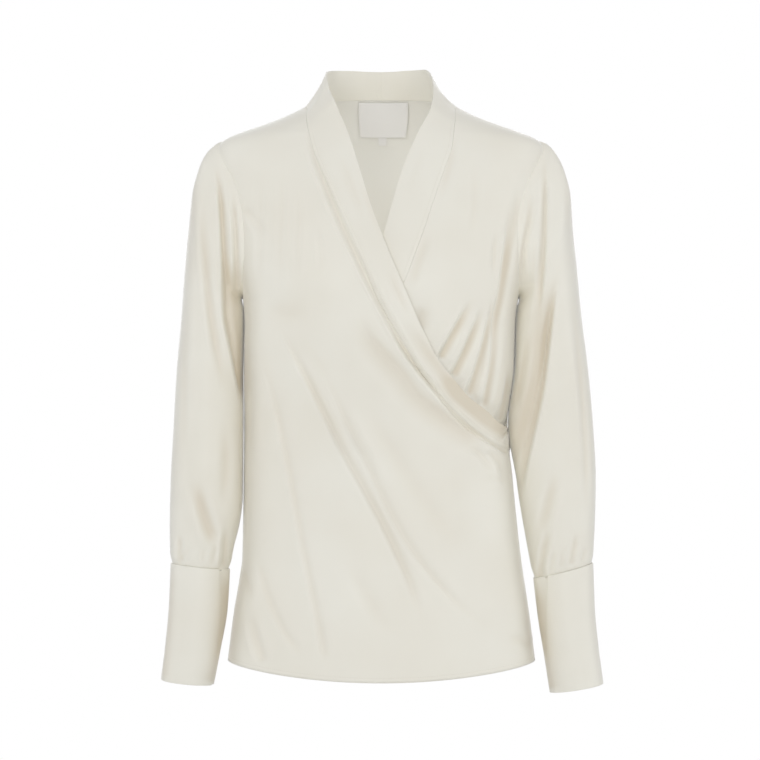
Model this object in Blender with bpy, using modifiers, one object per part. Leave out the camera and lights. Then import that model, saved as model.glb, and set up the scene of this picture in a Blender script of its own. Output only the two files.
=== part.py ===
# Long-sleeved wrap blouse with a band collar, hollow and filled out as worn.
# Origin: middle of the neck at shoulder height. +X wearer's left, -Y wearer's front, +Z up, metres.
import math

import bpy
from mathutils import Vector

OBJECT_NAME = "wrap_blouse"

# Cloth walls and the spaces between pieces
PANEL_WALL = 0.0012
BAND_WALL = 0.0016
CUFF_WALL = 0.0018
LABEL_WALL = 0.0010
SEAM_GAP = 0.0003
ARMHOLE_GAP = 0.0008
CENTRE_SHIFT = 0.00035
# The back's extra room at the shoulder points, where two walls turn down together
SHOULDER_POINT_GAP = 0.0007
SHOULDER_POINT_REACH = 0.022

# Heights of the main lines
SHOULDER_POINT = -0.041
UNDERARM = -0.220
WRAP_END = -0.400
HEM_SIDE = -0.636
HEM_DROP = 0.0145
HEM_ROUNDNESS = 2.4

# How far the lower wrap front lies inside: under the upper edge, further in, and at the side seams
WRAP_SINK = 0.0042
WRAP_SINK_HIDDEN = 0.0074
WRAP_SINK_AT_SEAM = 0.0034
WRAP_SINK_RUN = 0.035
SEAM_RAMP_FROM = 70.0
SEAM_RAMP_TO = 88.0

# A ring's angle at the wearer's side
SIDE_ANGLE = 90.0

# Squareness of the body's rings: 2 is an ellipse
RING_POWER = 2.2

# Grid cells of the pieces
ARMHOLE_ROWS = 12
BAND_ROWS = 21
SKIRT_ROWS = 10
FRONT_COLUMNS = 34
UNDER_FRONT_COLUMNS = 30
NECK_CELLS = 6
SHOULDER_CELLS = 6
BACK_LOWER_ROWS = 10
BAND_COLUMNS = 3
SHOULDER_CROWDING = 0.8
ARMHOLE_CROWDING = 0.55
SHOULDER_FADE = 0.60
HALVINGS = 30
SLEEVE_ROWS = 17
SLEEVE_CROWDING = 1.25
CUFF_COLUMNS = 32
CUFF_ROWS = 3
FOLD_STEPS = 16
# Beyond this many widths a fold has no more effect
FOLD_REACH = 3.0

# The filled-out body, ring by ring; the last column narrows the ring over the shoulder blades
FORM_COLUMNS = ("height", "right", "left", "front", "back", "blade_share")
FORM = (
    (0.016, 0.0600, 0.0600, 0.010, 0.064, 1.000),
    (0.000, 0.0855, 0.0855, 0.026, 0.072, 1.000),
    (-0.012, 0.1095, 0.1095, 0.046, 0.078, 0.975),
    (-0.022, 0.1350, 0.1350, 0.056, 0.083, 0.930),
    (-0.031, 0.1610, 0.1610, 0.063, 0.087, 0.885),
    (-0.036, 0.1735, 0.1735, 0.067, 0.089, 0.865),
    (-0.041, 0.1820, 0.1820, 0.070, 0.092, 0.860),
    (-0.047, 0.1865, 0.1865, 0.074, 0.094, 0.875),
    (-0.056, 0.1882, 0.1882, 0.080, 0.097, 0.905),
    (-0.068, 0.1868, 0.1868, 0.087, 0.100, 0.945),
    (-0.083, 0.1820, 0.1820, 0.095, 0.104, 0.980),
    (-0.110, 0.1765, 0.1765, 0.107, 0.110, 1.000),
    (-0.140, 0.1725, 0.1725, 0.118, 0.114, 1.000),
    (-0.185, 0.1665, 0.1660, 0.131, 0.116, 1.000),
    (-0.220, 0.1590, 0.1580, 0.136, 0.114, 1.000),
    (-0.250, 0.1570, 0.1545, 0.136, 0.111, 1.000),
    (-0.300, 0.1580, 0.1530, 0.131, 0.103, 1.000),
    (-0.363, 0.1575, 0.1455, 0.124, 0.096, 1.000),
    (-0.436, 0.1580, 0.1520, 0.122, 0.098, 1.000),
    (-0.520, 0.1595, 0.1610, 0.125, 0.112, 1.000),
    (-0.580, 0.1690, 0.1700, 0.128, 0.122, 1.000),
    (-0.660, 0.1790, 0.1800, 0.130, 0.128, 1.000),
)

# Where the armhole runs, as angles from the front and from the back
ARMHOLE_COLUMNS = ("height", "front_angle", "back_angle")
ARMHOLE = (
    (-0.041, 90.0, 90.0),
    (-0.046, 85.0, 85.0),
    (-0.056, 77.0, 78.0),
    (-0.072, 69.5, 72.0),
    (-0.095, 64.5, 68.0),
    (-0.131, 62.0, 66.0),
    (-0.167, 64.0, 67.5),
    (-0.190, 69.0, 72.0),
    (-0.206, 76.0, 78.0),
    (-0.216, 84.0, 85.0),
    (-0.220, 90.0, 90.0),
)

# The band's standing part: its seam on the body, and its free edge round the neck
STAND_COLUMNS = ("seam_angle", "seam_height", "edge_side", "edge_depth", "edge_height")
STAND_RIGHT = (
    (180.0, 0.0135, 0.0000, 0.0600, 0.0455),
    (171.0, 0.0135, 0.0105, 0.0596, 0.0456),
    (150.0, 0.0125, 0.0310, 0.0540, 0.0460),
    (120.0, 0.0085, 0.0530, 0.0360, 0.0445),
    (100.0, 0.0025, 0.0615, 0.0170, 0.0420),
    (90.0, 0.0000, 0.0635, 0.0020, 0.0385),
    (43.0, -0.0165, 0.0600, -0.0260, 0.0180),
    (31.0, -0.0290, 0.0530, -0.0470, 0.0020),
)
STAND_LEFT = (
    (180.0, 0.0135, 0.0000, 0.0600, 0.0455),
    (171.0, 0.0135, 0.0105, 0.0596, 0.0457),
    (150.0, 0.0125, 0.0310, 0.0540, 0.0465),
    (120.0, 0.0085, 0.0500, 0.0360, 0.0460),
    (100.0, 0.0025, 0.0570, 0.0170, 0.0400),
    (90.0, 0.0000, 0.0600, 0.0020, 0.0290),
    (43.0, -0.0165, 0.0600, -0.0260, 0.0100),
    (31.0, -0.0290, 0.0570, -0.0470, -0.0050),
)

# The band's flat part down the front: its seam, its free edge, and how far the edge stands off
FLAT_COLUMNS = ("seam_x", "seam_z", "edge_x", "edge_z", "edge_rise", "bulge")
STAND_BULGE = -0.0015
RUN_STEP = 0.004
UPPER_BAND = (
    (-0.0754, -0.0588, -0.0384, -0.0332, 0.007, 0.0024),
    (-0.0603, -0.0952, -0.0258, -0.0723, 0.003, 0.0022),
    (-0.0444, -0.1307, -0.0123, -0.1172, 0.001, 0.0020),
    (-0.0277, -0.1673, 0.0016, -0.1546, 0.000, 0.0020),
    (-0.0073, -0.2180, 0.0209, -0.2015, 0.000, 0.0020),
    (0.0231, -0.2721, 0.0469, -0.2610, 0.000, 0.0020),
    (0.0419, -0.3024, 0.0630, -0.2919, 0.000, 0.0022),
    (0.0632, -0.3284, 0.0810, -0.3140, 0.000, 0.0024),
    (0.0799, -0.3473, 0.0969, -0.3329, 0.000, 0.0024),
    (0.1038, -0.3686, 0.1189, -0.3499, 0.000, 0.0022),
    (0.1270, -0.3850, 0.1340, -0.3635, 0.000, 0.0016),
    (0.1600, -0.4000, 0.1600, -0.3770, 0.000, 0.0008),
)
LOWER_BAND = (
    (0.0798, -0.0531, 0.0430, -0.0340, 0.007, 0.0024),
    (0.0716, -0.0777, 0.0297, -0.0635, 0.003, 0.0022),
    (0.0624, -0.1032, 0.0206, -0.0890, 0.001, 0.0020),
    (0.0510, -0.1375, 0.0106, -0.1240, 0.000, 0.0016),
    (0.0398, -0.1691, 0.0022, -0.1546, 0.000, 0.0010),
    (0.0242, -0.2092, -0.0110, -0.1960, 0.000, 0.0004),
    (-0.0020, -0.2480, -0.0280, -0.2320, 0.000, 0.0002),
    (-0.0340, -0.2980, -0.0580, -0.2810, 0.000, 0.0002),
    (-0.0700, -0.3400, -0.0880, -0.3200, 0.000, 0.0002),
    (-0.1100, -0.3740, -0.1220, -0.3520, 0.000, 0.0002),
    (-0.1700, -0.4000, -0.1700, -0.3770, 0.000, 0.0002),
)

# Sleeves and cuffs: the ring's outer and inner points, its depths, and how far forward it lies
LIMB_COLUMNS = ("along", "outer_x", "outer_z", "inner_x", "inner_z", "front", "back", "forward")
RIGHT_SLEEVE = (
    (0.00, 0.1820, -0.0410, 0.1590, -0.2200, 0.066, 0.068, 0.000),
    (0.016, 0.1905, -0.0440, 0.1600, -0.2202, 0.066, 0.068, 0.000),
    (0.035, 0.2000, -0.0530, 0.1612, -0.2204, 0.065, 0.067, 0.000),
    (0.07, 0.2090, -0.0730, 0.1624, -0.2212, 0.064, 0.066, 0.000),
    (0.13, 0.2165, -0.1000, 0.1630, -0.2238, 0.062, 0.064, 0.000),
    (0.22, 0.2215, -0.1450, 0.1625, -0.2320, 0.059, 0.062, 0.000),
    (0.31, 0.2255, -0.1900, 0.1628, -0.2470, 0.058, 0.060, 0.001),
    (0.42, 0.2295, -0.2450, 0.1628, -0.2780, 0.056, 0.057, 0.003),
    (0.54, 0.2345, -0.3050, 0.1625, -0.3220, 0.053, 0.054, 0.006),
    (0.67, 0.2380, -0.3710, 0.1618, -0.3800, 0.050, 0.050, 0.009),
    (0.78, 0.2410, -0.4280, 0.1618, -0.4330, 0.047, 0.046, 0.012),
    (0.89, 0.2420, -0.4800, 0.1645, -0.4840, 0.043, 0.042, 0.015),
    (0.96, 0.2415, -0.5080, 0.1700, -0.5140, 0.038, 0.038, 0.017),
    (1.00, 0.2405, -0.5235, 0.1728, -0.5305, 0.034, 0.034, 0.018),
)
LEFT_SLEEVE = (
    (0.00, 0.1820, -0.0410, 0.1580, -0.2200, 0.066, 0.068, 0.000),
    (0.016, 0.1920, -0.0440, 0.1590, -0.2202, 0.066, 0.068, 0.000),
    (0.035, 0.2020, -0.0560, 0.1602, -0.2204, 0.065, 0.067, 0.000),
    (0.07, 0.2100, -0.0740, 0.1614, -0.2212, 0.064, 0.066, 0.000),
    (0.13, 0.2175, -0.1020, 0.1620, -0.2238, 0.062, 0.064, 0.000),
    (0.22, 0.2210, -0.1450, 0.1602, -0.2320, 0.059, 0.062, 0.000),
    (0.31, 0.2255, -0.1900, 0.1592, -0.2470, 0.058, 0.060, 0.001),
    (0.42, 0.2305, -0.2450, 0.1585, -0.2780, 0.056, 0.057, 0.003),
    (0.54, 0.2380, -0.3060, 0.1570, -0.3220, 0.053, 0.053, 0.006),
    (0.67, 0.2435, -0.3700, 0.1510, -0.3800, 0.048, 0.048, 0.009),
    (0.78, 0.2462, -0.4250, 0.1560, -0.4350, 0.045, 0.044, 0.012),
    (0.89, 0.2450, -0.4760, 0.1645, -0.4890, 0.041, 0.040, 0.015),
    (0.96, 0.2435, -0.5050, 0.1705, -0.5220, 0.037, 0.037, 0.017),
    (1.00, 0.2427, -0.5235, 0.1742, -0.5405, 0.034, 0.034, 0.018),
)
RIGHT_CUFF = (
    (0.00, 0.2405, -0.5240, 0.1728, -0.5310, 0.034, 0.034, 0.018),
    (0.33, 0.2420, -0.5710, 0.1760, -0.5780, 0.034, 0.034, 0.020),
    (0.67, 0.2458, -0.6150, 0.1835, -0.6220, 0.033, 0.033, 0.022),
    (1.00, 0.2512, -0.6570, 0.1905, -0.6630, 0.032, 0.032, 0.024),
)
LEFT_CUFF = (
    (0.00, 0.2427, -0.5240, 0.1742, -0.5410, 0.034, 0.034, 0.018),
    (0.33, 0.2440, -0.5740, 0.1800, -0.5870, 0.034, 0.034, 0.020),
    (0.67, 0.2482, -0.6200, 0.1868, -0.6310, 0.033, 0.033, 0.022),
    (1.00, 0.2540, -0.6615, 0.1915, -0.6715, 0.032, 0.032, 0.024),
)
# The lapped end of a cuff: its angle from the outer side at the top and at the bottom, and its lap
CUFF_LAP = 22.0
CUFF_LAP_RISE = 40.0
RIGHT_CUFF_END = (134.0, 158.0)
LEFT_CUFF_END = (125.0, 168.0)
SLEEVE_BLEND = 0.20

# Folds: start, middle and end in the front view, widths to the left and right, depth, fade at each end
FOLD_COLUMNS = (
    "start_x", "start_z", "middle_x", "middle_z", "end_x", "end_z",
    "left_width", "right_width", "depth", "start_fade", "end_fade",
)
UPPER_FRONT_FOLDS = (
    (-0.0840, -0.240, -0.0330, -0.388, 0.0450, -0.575, 0.010, 0.010, -0.0042, 0.25, 0.35),
    (-0.0520, -0.291, 0.0220, -0.440, 0.1240, -0.600, 0.009, 0.010, -0.0036, 0.30, 0.30),
    (-0.1265, -0.241, -0.1030, -0.395, -0.0655, -0.640, 0.010, 0.012, -0.0036, 0.25, 0.02),
    (-0.1240, -0.536, -0.1130, -0.570, -0.0900, -0.613, 0.008, 0.008, -0.0026, 0.35, 0.35),
    (-0.0230, -0.252, 0.0330, -0.325, 0.1140, -0.389, 0.009, 0.008, -0.0026, 0.25, 0.15),
    (-0.1230, -0.231, -0.1020, -0.238, -0.0840, -0.240, 0.010, 0.012, -0.0022, 0.40, 0.40),
    (-0.1420, -0.592, -0.1380, -0.612, -0.1310, -0.634, 0.007, 0.007, -0.0024, 0.40, 0.02),
    (0.1150, -0.400, 0.1290, -0.440, 0.1370, -0.478, 0.007, 0.008, -0.0022, 0.10, 0.50),
)
LOWER_FRONT_FOLDS = (
    (0.0989, -0.228, 0.0830, -0.262, 0.0590, -0.296, 0.006, 0.005, -0.0030, 0.45, 0.02),
    (0.1070, -0.250, 0.0950, -0.284, 0.0750, -0.318, 0.006, 0.005, -0.0032, 0.40, 0.02),
    (0.1260, -0.236, 0.1140, -0.288, 0.0930, -0.338, 0.007, 0.005, -0.0038, 0.45, 0.02),
    (0.1370, -0.212, 0.1310, -0.284, 0.1130, -0.354, 0.007, 0.005, -0.0038, 0.45, 0.02),
    (0.1460, -0.310, 0.1420, -0.340, 0.1350, -0.364, 0.005, 0.005, -0.0026, 0.40, 0.02),
    (0.1480, -0.104, 0.1430, -0.162, 0.1360, -0.217, 0.008, 0.007, -0.0030, 0.35, 0.40),
    (0.1276, -0.150, 0.1255, -0.174, 0.1240, -0.196, 0.008, 0.008, -0.0020, 0.40, 0.40),
    (0.0575, -0.235, 0.0520, -0.246, 0.0465, -0.258, 0.006, 0.006, -0.0016, 0.40, 0.20),
)
BACK_FOLDS = (
    (-0.0560, -0.205, -0.0640, -0.320, -0.0540, -0.430, 0.014, 0.012, -0.0050, 0.35, 0.40),
    (0.0500, -0.225, 0.0610, -0.330, 0.0570, -0.455, 0.013, 0.014, -0.0046, 0.35, 0.40),
    (-0.1180, -0.300, -0.0950, -0.390, -0.0880, -0.500, 0.011, 0.012, -0.0036, 0.35, 0.40),
    (0.1130, -0.290, 0.0990, -0.370, 0.0930, -0.520, 0.012, 0.011, -0.0038, 0.35, 0.40),
    (-0.0080, -0.420, 0.0020, -0.520, -0.0060, -0.630, 0.014, 0.013, -0.0030, 0.40, 0.10),
)
RIGHT_SLEEVE_FRONT_FOLDS = (
    (-0.1760, -0.100, -0.1700, -0.210, -0.1620, -0.330, 0.006, 0.012, -0.0080, 0.35, 0.25),
    (-0.2050, -0.122, -0.1925, -0.220, -0.1760, -0.325, 0.009, 0.010, -0.0030, 0.40, 0.35),
    (-0.2110, -0.438, -0.2000, -0.471, -0.1880, -0.503, 0.009, 0.009, -0.0030, 0.40, 0.30),
    (-0.2280, -0.495, -0.2275, -0.510, -0.2270, -0.526, 0.004, 0.004, -0.0018, 0.40, 0.02),
    (-0.1790, -0.490, -0.1795, -0.508, -0.1800, -0.530, 0.004, 0.005, -0.0022, 0.40, 0.02),
)
LEFT_SLEEVE_FRONT_FOLDS = (
    (0.1860, -0.210, 0.1690, -0.335, 0.1560, -0.440, 0.013, 0.006, -0.0085, 0.35, 0.30),
    (0.1850, -0.078, 0.1850, -0.160, 0.1740, -0.260, 0.009, 0.007, -0.0042, 0.25, 0.40),
    (0.2140, -0.200, 0.2280, -0.340, 0.2330, -0.490, 0.008, 0.007, -0.0024, 0.30, 0.30),
    (0.2210, -0.492, 0.2200, -0.508, 0.2190, -0.526, 0.005, 0.004, -0.0020, 0.40, 0.02),
    (0.1900, -0.480, 0.1860, -0.508, 0.1830, -0.536, 0.005, 0.005, -0.0024, 0.40, 0.02),
)
RIGHT_SLEEVE_BACK_FOLDS = (
    (-0.1850, -0.120, -0.1900, -0.230, -0.1790, -0.330, 0.010, 0.012, -0.0050, 0.35, 0.35),
    (-0.2210, -0.330, -0.2080, -0.390, -0.1880, -0.430, 0.009, 0.010, -0.0040, 0.35, 0.35),
    (-0.2060, -0.480, -0.2060, -0.505, -0.2060, -0.528, 0.005, 0.005, -0.0022, 0.40, 0.02),
)
LEFT_SLEEVE_BACK_FOLDS = (
    (0.1880, -0.130, 0.1930, -0.240, 0.1810, -0.345, 0.012, 0.010, -0.0048, 0.35, 0.35),
    (0.2240, -0.350, 0.2100, -0.405, 0.1860, -0.440, 0.010, 0.009, -0.0042, 0.35, 0.35),
    (0.2090, -0.482, 0.2090, -0.507, 0.2090, -0.530, 0.005, 0.005, -0.0020, 0.40, 0.02),
)

# The blank label and the small tab under it, inside the back of the neck
LABEL_SIDES = (-0.0275, 0.0330)
LABEL_HEIGHTS = (-0.0295, 0.0095)
LABEL_OFF_WALL = (0.0034, 0.0022)
TAB_SIDES = (-0.0035, 0.0076)
TAB_HEIGHTS = (-0.0385, -0.0220)
TAB_OFF_WALL = (0.0014, 0.0012)

SATIN = (0.745, 0.723, 0.645, 1.0)
LABEL_WHITE = (0.80, 0.79, 0.77, 1.0)


def ease(amount):
    """Smooth step from 0 to 1."""
    amount = min(max(amount, 0.0), 1.0)
    return amount * amount * (3.0 - 2.0 * amount)


def mix(start, end, amount):
    return start + (end - start) * amount


def smooth_curve(keys, values):
    """A curve through the values that never overshoots them."""
    spans = [keys[i + 1] - keys[i] for i in range(len(keys) - 1)]
    rises = [(values[i + 1] - values[i]) / spans[i] for i in range(len(spans))]
    slopes = [rises[0]]
    for i in range(1, len(spans)):
        if rises[i - 1] * rises[i] <= 0.0:
            slopes.append(0.0)
            continue
        before = 2.0 * spans[i] + spans[i - 1]
        after = spans[i] + 2.0 * spans[i - 1]
        slopes.append((before + after) / (before / rises[i - 1] + after / rises[i]))
    slopes.append(rises[-1])

    def value_at(key):
        if key <= keys[0]:
            return values[0]
        if key >= keys[-1]:
            return values[-1]
        i = 0
        while key > keys[i + 1]:
            i += 1
        t = (key - keys[i]) / spans[i]
        square = t * t
        cube = square * t
        return (
            (2.0 * cube - 3.0 * square + 1.0) * values[i]
            + (cube - 2.0 * square + t) * spans[i] * slopes[i]
            + (3.0 * square - 2.0 * cube) * values[i + 1]
            + (cube - square) * spans[i] * slopes[i + 1]
        )

    return value_at


def named_rows(columns, rows):
    """The rows of a table as dictionaries, by the names of its columns."""
    return [dict(zip(columns, row)) for row in rows]


def table_curves(columns, rows):
    """One smooth curve for each column of a table, read against its first column."""
    ordered = sorted(rows)
    keys = [row[0] for row in ordered]
    return {name: smooth_curve(keys, [row[i] for row in ordered]) for i, name in enumerate(columns)}


form = table_curves(FORM_COLUMNS, FORM)
armhole = table_curves(ARMHOLE_COLUMNS, ARMHOLE)


def body_point(angle, height, out=0.0):
    """A point of the body: 0 degrees is the middle of the front, +90 the wearer's left side."""
    sine = math.sin(math.radians(angle))
    cosine = math.cos(math.radians(angle))
    half = form["left"](height) if sine > 0.0 else form["right"](height)
    depth = form["front"](height) if cosine > 0.0 else form["back"](height)
    if cosine < 0.0:
        half *= mix(1.0, form["blade_share"](height), cosine ** 2)
    reach = (abs(sine) ** RING_POWER + abs(cosine) ** RING_POWER) ** (-1.0 / RING_POWER)
    x = half * reach * sine
    y = -depth * reach * cosine
    normal = Vector((
        math.copysign(abs(x / half) ** (RING_POWER - 1.0) / half, x),
        math.copysign(abs(y / depth) ** (RING_POWER - 1.0) / depth, y),
        0.0,
    )).normalized()
    return Vector((x, y, height)) + normal * out


def angle_at(x, height):
    """The angle whose front point has this x."""
    half = form["left"](height) if x > 0.0 else form["right"](height)
    share = min(abs(x) / half, 1.0) ** RING_POWER
    if share >= 1.0:
        return math.copysign(SIDE_ANGLE, x)
    return math.copysign(math.degrees(math.atan((share / (1.0 - share)) ** (1.0 / RING_POWER))), x)


def fold_path(fold):
    """Points of the smooth path through a fold's start, middle and end."""
    start = Vector((fold["start_x"], fold["start_z"]))
    middle = Vector((fold["middle_x"], fold["middle_z"]))
    end = Vector((fold["end_x"], fold["end_z"]))
    points = []
    for step in range(FOLD_STEPS + 1):
        t = step / FOLD_STEPS
        points.append(start * (1.0 - t) * (1.0 - 2.0 * t) + middle * 4.0 * t * (1.0 - t) + end * t * (2.0 * t - 1.0))
    return points


class Folds:
    """Soft troughs and ridges over a panel, read by their place in the front view."""

    def __init__(self, rows):
        self.folds = [(fold_path(fold), fold) for fold in named_rows(FOLD_COLUMNS, rows)]

    def height_at(self, x, z):
        place = Vector((x, z))
        total = 0.0
        for path, fold in self.folds:
            total += self.one_height(place, path, fold)
        return total

    def one_height(self, place, path, fold):
        reach = FOLD_REACH * max(fold["left_width"], fold["right_width"])
        nearest = None
        for i in range(FOLD_STEPS):
            run = path[i + 1] - path[i]
            t = min(max((place - path[i]).dot(run) / run.length_squared, 0.0), 1.0)
            away = place - (path[i] + run * t)
            if nearest is None or away.length < nearest[0]:
                nearest = (away.length, (i + t) / FOLD_STEPS, run.x * away.y - run.y * away.x)
        distance, along, side = nearest
        if distance > reach:
            return 0.0
        # every fold runs downwards, so a point to its right in the front view has a positive cross product
        width = fold["right_width"] if side > 0.0 else fold["left_width"]
        fade = ease(along / fold["start_fade"]) * ease((1.0 - along) / fold["end_fade"])
        return fold["depth"] * fade * math.exp(-((distance / width) ** 2))


upper_folds = Folds(UPPER_FRONT_FOLDS)
lower_folds = Folds(LOWER_FRONT_FOLDS)
back_folds = Folds(BACK_FOLDS)


def upper_edge_curve():
    """The x of the upper band's free edge at each height, which hides the lower front beyond it."""
    flat = named_rows(FLAT_COLUMNS, UPPER_BAND)
    stand = named_rows(STAND_COLUMNS, STAND_RIGHT)
    points = [(row["edge_z"], row["edge_x"]) for row in flat]
    points += [(row["edge_height"], -row["edge_side"]) for row in stand if row["seam_angle"] < SIDE_ANGLE]
    points.sort()
    return smooth_curve([z for z, x in points], [x for z, x in points])


upper_edge = upper_edge_curve()


def upper_front_point(angle, height):
    x = body_point(angle, height).x
    return body_point(angle, height, upper_folds.height_at(x, height))


def lower_front_point(angle, height):
    """The lower wrap front: on the body where it shows, and sunk below the upper one elsewhere."""
    x = body_point(angle, height).x
    shown = x - upper_edge(height)
    if height < UPPER_BAND[-1][3]:
        shown = -WRAP_SINK_RUN
    covered = 1.0 - ease(shown / WRAP_SINK_RUN)
    hidden = ease(-shown / WRAP_SINK_RUN)
    at_seam = ease((abs(angle) - SEAM_RAMP_FROM) / (SEAM_RAMP_TO - SEAM_RAMP_FROM))
    sink = covered * mix(mix(WRAP_SINK, WRAP_SINK_HIDDEN, hidden), WRAP_SINK_AT_SEAM, at_seam)
    relief = lower_folds.height_at(x, height) * (1.0 - hidden)
    return body_point(angle, height, relief - sink)


def back_point(angle, height):
    x = body_point(angle, height).x
    return body_point(angle, height, back_folds.height_at(x, height))


class Neckline:
    """The seam between a panel and its band half, and the band's free edge, from the centre back."""

    def __init__(self, side, stand_table, flat_table, panel_point):
        self.side = side
        self.panel_point = panel_point
        stand = named_rows(STAND_COLUMNS, stand_table)
        flat = named_rows(FLAT_COLUMNS, flat_table)
        seam = [(side * row["seam_angle"], row["seam_height"]) for row in stand]
        seam += [(angle_at(row["seam_x"], row["seam_z"]), row["seam_z"]) for row in flat]
        edge = [Vector((side * row["edge_side"], row["edge_depth"], row["edge_height"])) for row in stand]
        edge += [panel_point(angle_at(row["edge_x"], row["edge_z"]), row["edge_z"]) for row in flat]
        places = [body_point(angle, height) for angle, height in seam]
        keys = [0.0]
        for i in range(1, len(places)):
            keys.append(keys[-1] + (places[i] - places[i - 1]).length)
        keys = [key / keys[-1] for key in keys]
        self.shoulder = keys[[row["seam_angle"] for row in stand].index(SIDE_ANGLE)]
        self.lies_from = keys[len(stand) - 1]
        self.lies_fully = keys[len(stand) + 1]
        self.angle = smooth_curve(keys, [angle for angle, height in seam])
        self.height = smooth_curve(keys, [height for angle, height in seam])
        self.edge = [smooth_curve(keys, [point[axis] for point in edge]) for axis in range(3)]
        self.edge_x = smooth_curve(keys, [side * row["edge_side"] for row in stand] + [row["edge_x"] for row in flat])
        self.edge_z = smooth_curve(keys, [row["edge_height"] for row in stand] + [row["edge_z"] for row in flat])
        self.rise = smooth_curve(keys, [0.0] * len(stand) + [row["edge_rise"] for row in flat])
        self.bulge = smooth_curve(keys, [STAND_BULGE] * len(stand) + [row["bulge"] for row in flat])

    def seam_point(self, t):
        return self.panel_point(self.angle(t), self.height(t))

    def edge_point(self, t):
        return Vector([curve(t) for curve in self.edge])

    def band_point(self, t, across):
        """A point of the band, which stands round the neck and lies on the front further down."""
        seam = self.seam_point(t)
        edge = self.edge_point(t)
        run = self.seam_point(min(t + RUN_STEP, 1.0)) - self.seam_point(max(t - RUN_STEP, 0.0))
        outward = (edge - seam).cross(run).normalized() * self.side
        across = mix(SEAM_GAP / (edge - seam).length, 1.0, across)
        point = seam.lerp(edge, across)
        lies = ease((t - self.lies_from) / (self.lies_fully - self.lies_from))
        if lies > 0.0:
            x = mix(body_point(self.angle(t), self.height(t)).x, self.edge_x(t), across)
            z = mix(self.height(t), self.edge_z(t), across)
            point = point.lerp(self.panel_point(angle_at(x, z), z), lies)
        point.y -= self.rise(t) * across ** 2
        return point + outward * self.bulge(t) * 4.0 * across * (1.0 - across)


def panel_neck(side):
    """The neckline of one front, with the point function of its panel."""
    if side < 0:
        return Neckline(-1.0, STAND_RIGHT, UPPER_BAND, upper_front_point)
    return Neckline(1.0, STAND_LEFT, LOWER_BAND, lower_front_point)


def band_share(row):
    """Share of the band's length at a row, in short steps next to the shoulder."""
    share = row / BAND_ROWS
    return share * (1.0 - SHOULDER_CROWDING * (1.0 - share) ** 3)


def armhole_height(row):
    """Heights of the armhole's rows, somewhat closer together at the shoulder and at the underarm."""
    share = row / ARMHOLE_ROWS
    swing = mix(1.0 - 2.0 * share, math.cos(math.pi * share), ARMHOLE_CROWDING)
    return 0.5 * (SHOULDER_POINT + UNDERARM) + 0.5 * (SHOULDER_POINT - UNDERARM) * swing


def outer_edge(row, wrap_rows):
    """Angle and height of a front's outer edge: armhole, then side seam."""
    if row <= ARMHOLE_ROWS:
        height = armhole_height(row)
        return armhole["front_angle"](height), height
    if row <= wrap_rows:
        return SIDE_ANGLE, mix(UNDERARM, WRAP_END, (row - ARMHOLE_ROWS) / (wrap_rows - ARMHOLE_ROWS))
    return SIDE_ANGLE, mix(WRAP_END, HEM_SIDE, (row - wrap_rows) / SKIRT_ROWS)


def hem_sag(angle, drop):
    return -drop * max(math.cos(math.radians(angle)), 0.0) ** HEM_ROUNDNESS


def grid_shell(name, columns, rows, place, wall, outside, ring=False):
    """A grid whose points are put in place by a function, turned outwards and given its wall."""
    bpy.ops.mesh.primitive_grid_add(x_subdivisions=columns, y_subdivisions=rows, size=1.0)
    piece = bpy.context.object
    piece.name = name
    piece.data.name = name
    for vertex in piece.data.vertices:
        column = round((vertex.co.x + 0.5) * columns)
        row = round((0.5 - vertex.co.y) * rows)
        vertex.co = place(column, row)
    if ring:
        weld = piece.modifiers.new("weld", "WELD")
        weld.merge_threshold = 0.00002
    middle = piece.data.polygons[len(piece.data.polygons) // 2]
    if middle.normal.dot(outside(middle.center)) < 0.0:
        piece.data.flip_normals()
    shell = piece.modifiers.new("wall", "SOLIDIFY")
    shell.thickness = wall
    shell.offset = -1.0
    shell.use_quality_normals = True
    piece.data.shade_smooth()
    return piece


def away_from_middle(centre):
    return Vector((centre.x, centre.y, 0.0))


def front_panel(name, side, columns):
    """A wrap front: from its shoulder and armhole to the band seam, and down to the hem."""
    neck = panel_neck(side)
    wrap_rows = BAND_ROWS
    rows = wrap_rows + SKIRT_ROWS

    def place(column, row):
        across = column / columns
        outer_angle, outer_height = outer_edge(row, wrap_rows)
        outer_angle *= side
        if row <= wrap_rows:
            t = mix(neck.shoulder, 1.0, band_share(row))
            inner_angle = neck.angle(t)
            inner_height = neck.height(t)
        else:
            inner_angle = -outer_angle
            inner_height = outer_height
        angle = mix(outer_angle, inner_angle, across)
        height = mix(outer_height, inner_height, across)
        if row > wrap_rows:
            height += hem_sag(angle, HEM_DROP * (row - wrap_rows) / SKIRT_ROWS)
        point = neck.panel_point(angle, height)
        if math.isclose(abs(angle), SIDE_ANGLE, abs_tol=0.01):
            point.y -= 0.5 * SEAM_GAP
        return point

    return grid_shell(name, columns, rows, place, PANEL_WALL, away_from_middle)


def back_angle_at(side, x, height):
    """The angle from the middle of the back whose point lies this far to the side."""
    low = 0.0
    high = SIDE_ANGLE
    for _ in range(HALVINGS):
        middle = 0.5 * (low + high)
        if abs(body_point(side * (180.0 - middle), height).x) < x:
            low = middle
        else:
            high = middle
    return 0.5 * (low + high)


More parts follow.
